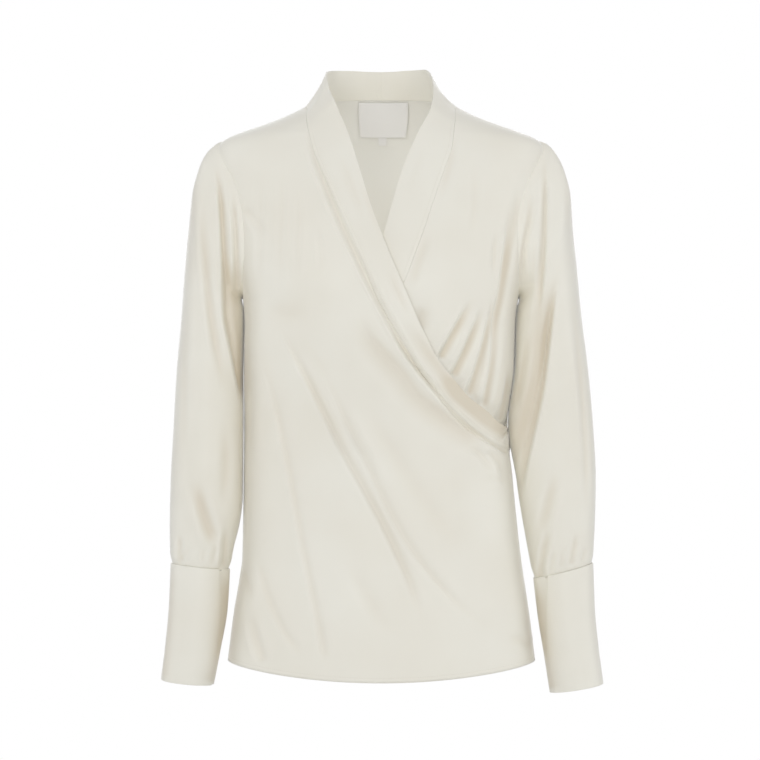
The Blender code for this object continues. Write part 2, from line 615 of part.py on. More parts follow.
def back_panel(name):
    """The back, in one piece: neck, shoulders, armholes, side seams and hem."""
    half = NECK_CELLS + SHOULDER_CELLS
    rows = ARMHOLE_ROWS + BACK_LOWER_ROWS
    necks = {-1: panel_neck(-1), 1: panel_neck(1)}
    shoulder_points = {side: body_point(side * SIDE_ANGLE, SHOULDER_POINT) for side in (-1, 1)}

    def top_row(side, cell):
        """Angle from the middle of the back, and height, along the neck and the shoulder."""
        if cell <= NECK_CELLS:
            t = necks[side].shoulder * cell / NECK_CELLS
            return 180.0 - abs(necks[side].angle(t)), necks[side].height(t)
        return SIDE_ANGLE, mix(0.0, SHOULDER_POINT, (cell - NECK_CELLS) / SHOULDER_CELLS)

    def distance(side, angle, height):
        return abs(body_point(side * (180.0 - angle), height).x)

    def upper_place(side, cell, row):
        """Angle and height of a point beside the armhole, where the columns run straight down."""
        top_angle, top_height = top_row(side, cell)
        if row == 0:
            return top_angle, top_height
        edge_height = armhole_height(row)
        edge_angle = armhole["back_angle"](edge_height)
        if cell == half:
            return edge_angle, edge_height
        down = (edge_height - SHOULDER_POINT) / (UNDERARM - SHOULDER_POINT)
        top_share = distance(side, top_angle, top_height) / distance(side, SIDE_ANGLE, SHOULDER_POINT)
        low_share = distance(side, SIDE_ANGLE * cell / half, UNDERARM) / distance(side, SIDE_ANGLE, UNDERARM)
        height = edge_height + (top_height - SHOULDER_POINT) * (1.0 - ease(down / SHOULDER_FADE))
        x = distance(side, edge_angle, edge_height) * mix(top_share, low_share, down)
        return back_angle_at(side, x, height), height

    def place(column, row):
        side = -1 if column < half else 1
        cell = abs(column - half)
        if row <= ARMHOLE_ROWS:
            angle, height = upper_place(side, cell, row)
        else:
            down = (row - ARMHOLE_ROWS) / BACK_LOWER_ROWS
            angle = SIDE_ANGLE * cell / half
            height = mix(UNDERARM, HEM_SIDE, down) + hem_sag(angle, HEM_DROP * down)
        point = back_point(side * (180.0 - angle), height)
        if math.isclose(angle, SIDE_ANGLE, abs_tol=0.01):
            point.y += 0.5 * SEAM_GAP
        if row <= ARMHOLE_ROWS:
            point.y += SHOULDER_POINT_GAP * ease(1.0 - (point - shoulder_points[side]).length / SHOULDER_POINT_REACH)
        return point

    return grid_shell(name, 2 * half, rows, place, PANEL_WALL, away_from_middle)


def band(name, side):
    """One half of the collar band, from the centre back seam to the wrap's end."""
    neck = panel_neck(side)
    rows = NECK_CELLS + BAND_ROWS

    def place(column, row):
        if row <= NECK_CELLS:
            t = neck.shoulder * row / NECK_CELLS
        else:
            t = mix(neck.shoulder, 1.0, band_share(row - NECK_CELLS))
        point = neck.band_point(t, column / BAND_COLUMNS)
        if row == 0:
            point.x += CENTRE_SHIFT * side
        if row == rows:
            point.y -= 0.5 * SEAM_GAP
        return point

    def outside(centre):
        return Vector((side * 0.3, -1.0, 0.0))

    return grid_shell(name, BAND_COLUMNS, rows, place, BAND_WALL, outside)


def limb_ring(side, limb, along, turn):
    """Centre and point of a sleeve's or cuff's ring: 0 degrees is its outer side, 90 its front."""
    outer = Vector((side * limb["outer_x"](along), 0.0, limb["outer_z"](along)))
    inner = Vector((side * limb["inner_x"](along), 0.0, limb["inner_z"](along)))
    forward = Vector((0.0, -limb["forward"](along), 0.0))
    centre = 0.5 * (outer + inner) + forward
    sine = math.sin(math.radians(turn))
    depth = limb["front"](along) if sine > 0.0 else limb["back"](along)
    point = centre + 0.5 * (outer - inner) * math.cos(math.radians(turn)) - Vector((0.0, depth * sine, 0.0))
    return centre, point


def armhole_point(side, turn):
    """The armhole's edge, by the sleeve ring's angle."""
    height = armhole_height(ARMHOLE_ROWS * min(turn, 360.0 - turn) / 180.0)
    if turn <= 180.0:
        angle = armhole["front_angle"](height)
    else:
        angle = 180.0 - armhole["back_angle"](height)
    return body_point(side * angle, height) + Vector((side * ARMHOLE_GAP, 0.0, 0.0))


def sleeve(name, side, table, front_rows, back_rows):
    """A set-in sleeve, open at the armhole and at the cuff."""
    limb = table_curves(LIMB_COLUMNS, table)
    front_folds = Folds(front_rows)
    sleeve_back_folds = Folds(back_rows)
    columns = 2 * ARMHOLE_ROWS

    def place(column, row):
        along = (row / SLEEVE_ROWS) ** SLEEVE_CROWDING
        turn = 360.0 * (column % columns) / columns
        centre, point = limb_ring(side, limb, along, turn)
        blend = ease(along / SLEEVE_BLEND)
        from_armhole = armhole_point(side, turn) - limb_ring(side, limb, 0.0, turn)[1]
        point += from_armhole * (1.0 - blend)
        folds = front_folds if turn < 180.0 else sleeve_back_folds
        relief = folds.height_at(point.x, point.z) * blend * abs(math.sin(math.radians(turn))) ** 0.5
        return point + (point - centre).normalized() * relief

    def outside(centre):
        return Vector((centre.x - side * 0.5 * (table[0][1] + table[0][3]), centre.y, 0.0))

    return grid_shell(name, columns, SLEEVE_ROWS, place, PANEL_WALL, outside, ring=True)


def cuff(name, side, table, end_angles):
    """A deep plain cuff, wound once round with its ends lapped on the inner side."""
    limb = table_curves(LIMB_COLUMNS, table)

    def place(column, row):
        along = row / CUFF_ROWS
        wound = (360.0 + CUFF_LAP) * column / CUFF_COLUMNS
        turn = mix(end_angles[0], end_angles[1], along) - wound
        centre, point = limb_ring(side, limb, along, turn)
        under = 1.0 - ease((360.0 - wound) / CUFF_LAP_RISE)
        inward = (CUFF_WALL + 3.0 * SEAM_GAP) * under
        return point - (point - centre).normalized() * inward

    def outside(centre):
        return Vector((centre.x - side * 0.5 * (table[1][1] + table[1][3]), centre.y, 0.0))

    return grid_shell(name, CUFF_COLUMNS, CUFF_ROWS, place, CUFF_WALL, outside)


def neck_patch(name, sides, heights, off_wall, columns, rows):
    """A blank patch on the inside of the back, made from the back's own points."""

    def place(column, row):
        x = mix(sides[0], sides[1], column / columns)
        z = mix(heights[1], heights[0], row / rows)
        gap = mix(off_wall[1], off_wall[0], row / rows)
        front_angle = angle_at(x, z)
        angle = math.copysign(180.0 - abs(front_angle), front_angle)
        return body_point(angle, z, -(PANEL_WALL + gap + LABEL_WALL))

    def outside(centre):
        return Vector((0.0, -1.0, 0.0))

    return grid_shell(name, columns, rows, place, LABEL_WALL, outside)


def cloth_material(name, colour, roughness, sheen):
    material = bpy.data.materials.new(name)
    material.use_nodes = True
    shader = material.node_tree.nodes["Principled BSDF"]
    shader.inputs["Base Color"].default_value = colour
    shader.inputs["Roughness"].default_value = roughness
    shader.inputs["Metallic"].default_value = 0.0
    shader.inputs["Sheen Weight"].default_value = sheen
    material.diffuse_color = colour
    return material


def build():
    for old in list(bpy.data.objects):
        bpy.data.objects.remove(old, do_unlink=True)
    satin_pieces = [
        front_panel("front_right", -1, FRONT_COLUMNS),
        front_panel("front_left", 1, UNDER_FRONT_COLUMNS),
        back_panel("back"),
        band("collar_right", -1),
        band("collar_left", 1),
        sleeve("sleeve_right", -1, RIGHT_SLEEVE, RIGHT_SLEEVE_FRONT_FOLDS, RIGHT_SLEEVE_BACK_FOLDS),
        sleeve("sleeve_left", 1, LEFT_SLEEVE, LEFT_SLEEVE_FRONT_FOLDS, LEFT_SLEEVE_BACK_FOLDS),
        cuff("cuff_right", -1, RIGHT_CUFF, RIGHT_CUFF_END),
        cuff("cuff_left", 1, LEFT_CUFF, LEFT_CUFF_END),
    ]
    label_pieces = [
        neck_patch("neck_label", LABEL_SIDES, LABEL_HEIGHTS, LABEL_OFF_WALL, 8, 4),
        neck_patch("size_tab", TAB_SIDES, TAB_HEIGHTS, TAB_OFF_WALL, 2, 3),
    ]
    collection = bpy.data.collections.new(OBJECT_NAME)
    bpy.context.scene.collection.children.link(collection)
    for piece in satin_pieces + label_pieces:
        for holder in list(piece.users_collection):
            holder.objects.unlink(piece)
        collection.objects.link(piece)
    for piece in satin_pieces:
        piece.data.materials.append(cloth_material("satin_" + piece.name, SATIN, 0.38, 0.25))
    for piece in label_pieces:
        piece.data.materials.append(cloth_material("ribbon_" + piece.name, LABEL_WHITE, 0.70, 0.0))


build()
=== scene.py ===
# Wrap blouse of cream satin, filled out as worn: band collar, set-in sleeves, deep cuffs, curved hem.
# +X is the wearer's left, -Y the wearer's front, +Z up, metres; folds are read in the picture's pixels.
import math

import bpy
import numpy as np
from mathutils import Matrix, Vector


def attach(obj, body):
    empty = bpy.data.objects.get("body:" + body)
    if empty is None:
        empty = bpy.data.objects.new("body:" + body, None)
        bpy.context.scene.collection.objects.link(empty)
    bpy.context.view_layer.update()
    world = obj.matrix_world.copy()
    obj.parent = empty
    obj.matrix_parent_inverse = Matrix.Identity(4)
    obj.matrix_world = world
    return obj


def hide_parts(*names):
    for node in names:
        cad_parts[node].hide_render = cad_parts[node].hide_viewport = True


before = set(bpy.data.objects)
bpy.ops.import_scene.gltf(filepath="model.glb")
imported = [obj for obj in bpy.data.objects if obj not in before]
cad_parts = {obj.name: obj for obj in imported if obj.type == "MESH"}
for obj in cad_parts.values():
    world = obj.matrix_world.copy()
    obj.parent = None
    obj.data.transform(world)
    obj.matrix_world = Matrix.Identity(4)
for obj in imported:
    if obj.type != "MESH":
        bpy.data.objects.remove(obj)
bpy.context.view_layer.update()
print("frame loaded")

picture = {"x": -0.00115, "distance": 3.28, "z": -0.3151, "lens": 135.0, "sensor": 36.0, "size": 760}
millimetre = 0.001
scene = bpy.context.scene


# small helpers

def ease(amount):
    amount = np.clip(amount, 0.0, 1.0)
    return amount * amount * (3.0 - 2.0 * amount)


def mix(start, end, amount):
    return start + (end - start) * amount


def smoothCurve(keys, values):  # goes through the values and never overshoots them
    keys = np.array(keys, dtype=float)
    values = np.array(values, dtype=float)
    spans = np.diff(keys)
    rises = np.diff(values) / spans
    slopes = np.empty_like(values)
    slopes[0] = rises[0]
    slopes[-1] = rises[-1]
    before = 2.0 * spans[1:] + spans[:-1]
    after = spans[1:] + 2.0 * spans[:-1]
    sameWay = rises[:-1] * rises[1:] > 0.0
    low = np.where(sameWay, rises[:-1], 1.0)
    high = np.where(sameWay, rises[1:], 1.0)
    slopes[1:-1] = np.where(sameWay, (before + after) / (before / low + after / high), 0.0)

    def valueAt(key):
        key = np.clip(np.asarray(key, dtype=float), keys[0], keys[-1])
        i = np.clip(np.searchsorted(keys, key, side="right") - 1, 0, len(spans) - 1)
        t = (key - keys[i]) / spans[i]
        return (
            (2.0 * t ** 3 - 3.0 * t ** 2 + 1.0) * values[i]
            + (t ** 3 - 2.0 * t ** 2 + t) * spans[i] * slopes[i]
            + (3.0 * t ** 2 - 2.0 * t ** 3) * values[i + 1]
            + (t ** 3 - t ** 2) * spans[i] * slopes[i + 1]
        )

    return valueAt


def tableCurves(columns, rows):  # one curve for each column, read against the first one
    ordered = sorted(rows)
    keys = [row[0] for row in ordered]
    return {name: smoothCurve(keys, [row[i] for row in ordered]) for i, name in enumerate(columns)}


def namedRows(columns, rows):
    return [dict(zip(columns, row)) for row in rows]


def unit(vectors):
    return vectors / np.maximum(np.linalg.norm(vectors, axis=-1, keepdims=True), 1e-9)


def runAlong(points):  # how far along its line each point lies
    steps = np.linalg.norm(np.diff(points, axis=0), axis=1)
    return np.concatenate(([0.0], np.cumsum(steps)))


def toPicture(points):  # pixels of the photograph's frame, the back seen through the front
    scale = picture["sensor"] / picture["lens"] / picture["size"] * (picture["distance"] + points[:, 1])
    half = 0.5 * picture["size"]
    return half + (points[:, 0] - picture["x"]) / scale, half - (points[:, 2] - picture["z"]) / scale


# the filled-out body that the panels lie on

bodyForm = {
    "squareness": 2.2,
    "columns": ("height", "right", "left", "front", "back", "bladeShare"),
    "rings": (
        (0.016, 0.0600, 0.0600, 0.010, 0.064, 1.0),
        (0.000, 0.0855, 0.0855, 0.026, 0.072, 1.0),
        (-0.012, 0.1095, 0.1095, 0.046, 0.078, 0.975),
        (-0.022, 0.1350, 0.1350, 0.056, 0.083, 0.930),
        (-0.031, 0.1610, 0.1610, 0.063, 0.087, 0.885),
        (-0.036, 0.1735, 0.1735, 0.067, 0.089, 0.865),
        (-0.041, 0.1820, 0.1820, 0.070, 0.092, 0.860),
        (-0.047, 0.1865, 0.1865, 0.074, 0.094, 0.875),
        (-0.056, 0.1882, 0.1882, 0.080, 0.097, 0.905),
        (-0.068, 0.1868, 0.1868, 0.087, 0.100, 0.945),
        (-0.083, 0.1820, 0.1820, 0.095, 0.104, 0.980),
        (-0.110, 0.1765, 0.1765, 0.107, 0.110, 1.0),
        (-0.140, 0.1725, 0.1725, 0.118, 0.114, 1.0),
        (-0.185, 0.1665, 0.1660, 0.131, 0.116, 1.0),
        (-0.220, 0.1590, 0.1580, 0.136, 0.114, 1.0),
        (-0.250, 0.1570, 0.1545, 0.136, 0.111, 1.0),
        (-0.300, 0.1580, 0.1530, 0.131, 0.103, 1.0),
        (-0.363, 0.1575, 0.1455, 0.124, 0.096, 1.0),
        (-0.436, 0.1580, 0.1520, 0.122, 0.098, 1.0),
        (-0.520, 0.1595, 0.1610, 0.125, 0.112, 1.0),
        (-0.580, 0.1690, 0.1700, 0.128, 0.122, 1.0),
        (-0.660, 0.1790, 0.1800, 0.130, 0.128, 1.0),
    ),
    "shoulderPoint": -0.041, "underarm": -0.220, "wrapEnd": -0.400, "hemSide": -0.636,
    "hemDrop": 0.0145, "hemRoundness": 2.4,
    "armholeColumns": ("height", "frontAngle", "backAngle"),
    "armhole": (
        (-0.041, 90.0, 90.0), (-0.046, 85.0, 85.0), (-0.056, 77.0, 78.0), (-0.072, 69.5, 72.0),
        (-0.095, 64.5, 68.0), (-0.131, 62.0, 66.0), (-0.167, 64.0, 67.5), (-0.190, 69.0, 72.0),
        (-0.206, 76.0, 78.0), (-0.216, 84.0, 85.0), (-0.220, 90.0, 90.0),
    ),
    "armholeRows": 12, "armholeCrowding": 0.55, "tuckAngle": 0.7, "tuckHeight": 0.0015, "tuckDepth": 0.0010,
    # a hair's breadth that keeps the front and the back apart along the side seams, within so many degrees
    "seamGap": 0.00012, "seamReach": 0.01,
}
form = tableCurves(bodyForm["columns"], bodyForm["rings"])
armhole = tableCurves(bodyForm["armholeColumns"], bodyForm["armhole"])


def bodyPoint(angle, height, out=0.0):  # 0 degrees is the middle of the front, +90 the wearer's left side
    angle, height, out = np.broadcast_arrays(np.asarray(angle, float), height, out)
    power = bodyForm["squareness"]
    sine = np.sin(np.radians(angle))
    cosine = np.cos(np.radians(angle))
    half = np.where(sine > 0.0, form["left"](height), form["right"](height))
    depth = np.where(cosine > 0.0, form["front"](height), form["back"](height))
    half = half * np.where(cosine < 0.0, mix(1.0, form["bladeShare"](height), cosine ** 2), 1.0)
    reach = (np.abs(sine) ** power + np.abs(cosine) ** power) ** (-1.0 / power)
    x = half * reach * sine
    y = -depth * reach * cosine
    normal = unit(np.stack((
        np.sign(x) * np.abs(x / half) ** (power - 1.0) / half,
        np.sign(y) * np.abs(y / depth) ** (power - 1.0) / depth,
        np.zeros_like(x),
    ), axis=-1))
    return np.stack((x, y, height), axis=-1) + normal * out[..., None]


def angleAt(x, height):  # the angle whose front point has this x
    power = bodyForm["squareness"]
    half = np.where(np.asarray(x) > 0.0, form["left"](height), form["right"](height))
    share = np.minimum(np.abs(x) / half, 1.0 - 1e-12) ** power
    return np.sign(x) * np.degrees(np.arctan((share / (1.0 - share)) ** (1.0 / power)))


def backAngleAt(side, x, height):
    # the angle from the middle of the back whose point lies this far to the side
    low = np.zeros_like(x)
    high = np.full_like(x, 90.0)
    for _ in range(34):  # each round halves what is left of the angle's error
        middle = 0.5 * (low + high)
        inside = np.abs(bodyPoint(side * (180.0 - middle), height)[:, 0]) < x
        low = np.where(inside, middle, low)
        high = np.where(inside, high, middle)
    return 0.5 * (low + high)


def armholeHeight(row):
    share = row / bodyForm["armholeRows"]
    swing = mix(1.0 - 2.0 * share, np.cos(math.pi * share), bodyForm["armholeCrowding"])
    top, bottom = bodyForm["shoulderPoint"], bodyForm["underarm"]
    return 0.5 * (top + bottom) + 0.5 * (top - bottom) * swing


# folds

foldForm = {
    # a path in the picture, widths to its left and right in pixels, depth in mm, fade at each end,
    # and how much of the depth stands up again as a soft ridge beside it
    "columns": ("path", "left", "right", "depth", "startFade", "endFade", "ridge"),
    # in widths: how far a fold is felt, where its ridge stands and how wide that is
    "reach": 4.0, "ridgeAt": 2.0, "ridgeWidth": 0.8,
    # steps along a path, and the depth in metres that takes the full painted shade
    "steps": 28, "fullShadeDepth": 0.005,
}


class Folds:
    def __init__(self, rows):
        self.folds = []
        for fold in namedRows(foldForm["columns"], rows):
            points = np.array(fold["path"], dtype=float)
            keys = runAlong(points)
            steps = np.linspace(0.0, keys[-1], foldForm["steps"] + 1)
            line = np.stack([smoothCurve(keys, points[:, axis])(steps) for axis in range(2)], axis=1)
            self.folds.append((fold, line))

    def heightAt(self, points):
        px, py = toPicture(points)
        total = np.zeros(len(points))
        for fold, line in self.folds:
            reach = foldForm["reach"] * max(fold["left"], fold["right"])
            near = (px > line[:, 0].min() - reach) & (px < line[:, 0].max() + reach)
            near &= (py > line[:, 1].min() - reach) & (py < line[:, 1].max() + reach)
            if near.any():
                total[near] += self.oneHeight(fold, line, px[near], py[near])
        return total * millimetre

    def oneHeight(self, fold, line, px, py):
        run = np.diff(line, axis=0)
        fromX = px[:, None] - line[None, :-1, 0]
        fromY = py[:, None] - line[None, :-1, 1]
        t = np.clip((fromX * run[:, 0] + fromY * run[:, 1]) / (run ** 2).sum(axis=1), 0.0, 1.0)
        awayX = fromX - t * run[:, 0]
        awayY = fromY - t * run[:, 1]
        distance = np.hypot(awayX, awayY)
        nearest = distance.argmin(axis=1)
        pick = np.arange(len(px))
        side = run[nearest, 0] * awayY[pick, nearest] - run[nearest, 1] * awayX[pick, nearest]
        width = np.where(side > 0.0, fold["left"], fold["right"])
        share = distance[pick, nearest] / width
        along = (nearest + t[pick, nearest]) / foldForm["steps"]
        fade = ease(along / fold["startFade"]) * ease((1.0 - along) / fold["endFade"])
        trough = np.exp(-share ** 2)
        ridge = np.exp(-((share - foldForm["ridgeAt"]) / foldForm["ridgeWidth"]) ** 2)
        return fold["depth"] * fade * (trough - fold["ridge"] * ridge)


# meshes

def linked(mesh, name):
    piece = bpy.data.objects.new(name, mesh)
    scene.collection.objects.link(piece)
    return piece


def sheetMesh(name, columns, rows, place, facing, ring=False):
    # place takes columns 0..1 across and rows 0..1 down; facing is a point that the outside looks away from
    across = columns if ring else columns + 1
    u = np.arange(across) / columns
    v = np.arange(rows + 1) / rows
    grid = place(np.tile(u, rows + 1), np.repeat(v, across))
    corner = np.arange(rows)[:, None] * across + np.arange(columns)[None, :]
    beside = np.arange(rows)[:, None] * across + (np.arange(columns) + 1)[None, :] % across
    faces = np.stack((corner, corner + across, beside + across, beside), axis=-1).reshape(-1, 4)
    centre = grid[faces].mean(axis=1)
    normal = np.cross(grid[faces[:, 2]] - grid[faces[:, 0]], grid[faces[:, 3]] - grid[faces[:, 1]])
    if (normal * (centre - facing(centre))).sum() < 0.0:
        faces = faces[:, ::-1]
    mesh = bpy.data.meshes.new(name)
    mesh.from_pydata(grid.tolist(), [], faces.tolist())
    squares = grid.reshape(rows + 1, across, 3)
    # cloth coordinates in metres, along the middle row and the middle column
    wide = np.linalg.norm(np.diff(squares, axis=1), axis=2).sum(axis=1).mean() * (columns / (across - 1))
    long = np.linalg.norm(np.diff(squares, axis=0), axis=2).sum(axis=0).mean()
    uv = mesh.uv_layers.new(name="cloth")
    loops = np.empty(len(mesh.loops), dtype=np.int32)
    mesh.loops.foreach_get("vertex_index", loops)
    cell = np.empty(len(mesh.loops), dtype=float)
    cell[:] = loops % across
    if ring:
        faceStart = cell.reshape(-1, 4)
        # a face that spans more than one column closes the ring
        wraps = (faceStart.max(axis=1) - faceStart.min(axis=1)) > 1.5
        faceStart[wraps] = np.where(faceStart[wraps] == 0.0, columns, faceStart[wraps])
        cell = faceStart.reshape(-1)
    flat = np.stack((cell / columns * wide, (loops // across) / rows * long), axis=1)
    uv.data.foreach_set("uv", flat.ravel())
    mesh.validate()
    mesh.update()
    return linked(mesh, name)


wallForm = {"edgeSegments": 2, "edgeAngle": 55.0}  # only corners sharper than this are rounded


def giveWall(piece, wall, finishes, roundness):  # the second finish is that of the inside
    for finish in finishes:
        piece.data.materials.append(finish)
    solid = piece.modifiers.new("wall", "SOLIDIFY")
    solid.thickness = wall
    solid.offset = -1.0
    solid.use_quality_normals = True
    solid.material_offset = 1
    if roundness > 0.0:
        edge = piece.modifiers.new("edge", "BEVEL")
        edge.width = roundness
        edge.segments = wallForm["edgeSegments"]
        edge.limit_method = "ANGLE"
        edge.angle_limit = math.radians(wallForm["edgeAngle"])
        edge.harden_normals = False
    for polygon in piece.data.polygons:
        polygon.use_smooth = True


# painted shade: each fold's depth is stored so the finish can paint the hollow warmer and darker
def paintHollowShade(piece, heightAt, share):  # how deep each point lies in its fold, for the finish
    points = np.empty(len(piece.data.vertices) * 3)
    piece.data.vertices.foreach_get("co", points)
    depth = share * np.clip(heightAt(points.reshape(-1, 3)) / -foldForm["fullShadeDepth"], 0.0, 1.0)
    piece.data.attributes.new("hollowShade", "FLOAT", "POINT").data.foreach_set("value", depth)


def fromAxis(centre):  # the outside of a body panel looks away from the body's upright axis
    return np.stack((np.zeros(len(centre)), np.zeros(len(centre)), centre[:, 2]), axis=1)


def awayFrom(shift):  # the outside looks away from a point that lies this far from each face
    def facing(centre):
        return centre + np.array(shift)

    return facing


# finishes

class Shade:
    # a shader socket on which sums are written as sums
    def __init__(self, tree, socket):
        self.tree = tree
        self.socket = socket

    def node(self, kind, settings=None, values=None, output=0):
        made = self.tree.nodes.new(kind)
        for name, value in (settings or {}).items():
            setattr(made, name, value)
        for name, value in (values or {}).items():
            socket = made.inputs[name]
            if isinstance(value, Shade):
                self.tree.links.new(value.socket, socket)
            else:
                socket.default_value = value
        return Shade(self.tree, made.outputs[output])

    def math(self, operation, other):
        return self.node("ShaderNodeMath", {"operation": operation}, {0: self, 1: other})

    def __add__(self, other):
        return self.math("ADD", other)

    def __mul__(self, other):
        return self.math("MULTIPLY", other)

    def noise(self, vector, scale, detail, roughness=0.5):
        values = {"Vector": vector, "Scale": scale, "Detail": detail, "Roughness": roughness}
        return self.node("ShaderNodeTexNoise", {}, values)

    def between(self, start, end):  # a colour mixed from two by this share
        return self.node("ShaderNodeMix", {"data_type": "RGBA"}, {0: self, 6: start, 7: end}, output=2)

    def into(self, socket):
        self.tree.links.new(self.socket, socket)


def blankMaterial(name):
    material = bpy.data.materials.new(name)
    material.use_nodes = True
    tree = material.node_tree
    shader = tree.nodes["Principled BSDF"]
    return material, shader, Shade(tree, None)


satinLook = {
    "face": {
        "base": (0.872, 0.852, 0.772, 1.0), "gloss": 0.48, "sheen": 0.85, "specular": 0.5, "rippleRise": 1.1,
    },
    "reverse": {
        "base": (0.868, 0.860, 0.815, 1.0), "gloss": 0.62, "sheen": 0.5, "specular": 0.35, "rippleRise": 0.0,
    },
    # the warmer, darker colour painted into the hollows as shade, and how much of it the painted hollow shade
    # and the slow random drift of tone take
    "shade": (0.745, 0.680, 0.560, 1.0), "hollowShadeTint": 0.85, "driftTint": 0.25,
    "driftSize": 9.0, "driftFrom": 0.35, "driftTo": 0.75, "glossDrift": 0.10, "sheenRoughness": 0.35,
    # the weave and the slow unevenness of hung satin, with their rises in millimetres
    "yarns": 2600.0, "yarnLength": 260.0, "yarnRise": 0.04,
    "rippleSize": 26.0, "rippleStretch": 0.38, "rippleDetail": 1.5, "rippleRoughness": 0.4,
}


def satinMaterial(name, side):
    look = satinLook
    own = look[side]
    material, shader, maker = blankMaterial(name)
    cloth = maker.node("ShaderNodeUVMap", {"uv_map": "cloth"})
    place = maker.node("ShaderNodeTexCoord", output=3)
    # long warp floats that lie down the cloth
    weave = {"Vector": cloth, "Scale": (look["yarns"], look["yarnLength"], 1.0)}
    yarns = maker.noise(maker.node("ShaderNodeMapping", {}, weave), 1.0, 1.0)
    # longer down the cloth than across it
    slow = {"Vector": place, "Scale": (1.0, 1.0, look["rippleStretch"])}
    slow = maker.node("ShaderNodeMapping", {}, slow)
    ripples = maker.noise(slow, look["rippleSize"], look["rippleDetail"], look["rippleRoughness"])
    drift = maker.noise(place, look["driftSize"], 2.0)
    # painted shade: the deeper a point lies in its fold, the more its base colour goes to the warmer, darker
    # shade colour
    hollowShade = maker.node("ShaderNodeAttribute", {"attribute_name": "hollowShade"}, output=2)
    limits = {"From Min": look["driftFrom"], "From Max": look["driftTo"], "To Max": look["driftTint"]}
    driftAndPaintedShade = maker.node("ShaderNodeMapRange", {}, {"Value": drift, "To Min": 0.0, **limits})
    driftAndPaintedShade = (driftAndPaintedShade + hollowShade * look["hollowShadeTint"]).math("MINIMUM", 1.0)
    driftAndPaintedShade.between(own["base"], look["shade"]).into(shader.inputs["Base Color"])
    gloss = drift * look["glossDrift"] + (own["gloss"] - 0.5 * look["glossDrift"])
    gloss.into(shader.inputs["Roughness"])
    height = yarns * look["yarnRise"] + ripples * own["rippleRise"]
    bump = maker.node("ShaderNodeBump", {}, {"Height": height, "Distance": millimetre, "Strength": 1.0})
    bump.into(shader.inputs["Normal"])
    shader.inputs["Sheen Weight"].default_value = own["sheen"]
    shader.inputs["Sheen Roughness"].default_value = look["sheenRoughness"]
    shader.inputs["Specular IOR Level"].default_value = own["specular"]
    material.diffuse_color = own["base"]
    return material


ribbonLook = {
    "dark": (0.86, 0.85, 0.83, 1.0), "light": (0.92, 0.91, 0.90, 1.0), "ribs": 620.0, "unevenness": 0.6,
    "ribRise": 0.00006, "gloss": 0.55, "glossDrift": 0.1, "sheen": 0.1,
}


def ribbonMaterial(name):
    look = ribbonLook
    material, shader, maker = blankMaterial(name)
    cloth = maker.node("ShaderNodeUVMap", {"uv_map": "cloth"})
    weave = {"Vector": cloth, "Scale": look["ribs"], "Distortion": look["unevenness"], "Detail": 1.0}
    ribs = maker.node("ShaderNodeTexWave", {"wave_type": "BANDS", "bands_direction": "Y"}, weave)
    ribs = maker.node("ShaderNodeSeparateColor", {}, {0: ribs})
    ribs.between(look["dark"], look["light"]).into(shader.inputs["Base Color"])
    (ribs * look["glossDrift"] + look["gloss"]).into(shader.inputs["Roughness"])
    bump = maker.node("ShaderNodeBump", {}, {"Height": ribs, "Distance": look["ribRise"]})
    bump.into(shader.inputs["Normal"])
    shader.inputs["Sheen Weight"].default_value = look["sheen"]
    return material


threadLook = {"dark": (0.70, 0.67, 0.58, 1.0), "light": (0.82, 0.79, 0.70, 1.0), "twist": 900.0, "gloss": 0.5}


def threadMaterial(name):
    material, shader, maker = blankMaterial(name)
    twist = maker.noise(maker.node("ShaderNodeTexCoord", output=3), threadLook["twist"], 1.0)
    twist.between(threadLook["dark"], threadLook["light"]).into(shader.inputs["Base Color"])
    shader.inputs["Roughness"].default_value = threadLook["gloss"]
    return material


satin = satinMaterial("creamSatin", "face")
satinReverse = satinMaterial("creamSatinReverse", "reverse")
ribbon = ribbonMaterial("labelRibbon")
thread = threadMaterial("creamThread")
print("finishes made")


# the necklines: the seam between each front and its band half, and the band's free edge

standColumns = ("seamAngle", "seamHeight", "edgeSide", "edgeDepth", "edgeHeight")
flatColumns = ("seamX", "seamZ", "edgeX", "edgeZ", "edgeRise", "bulge")

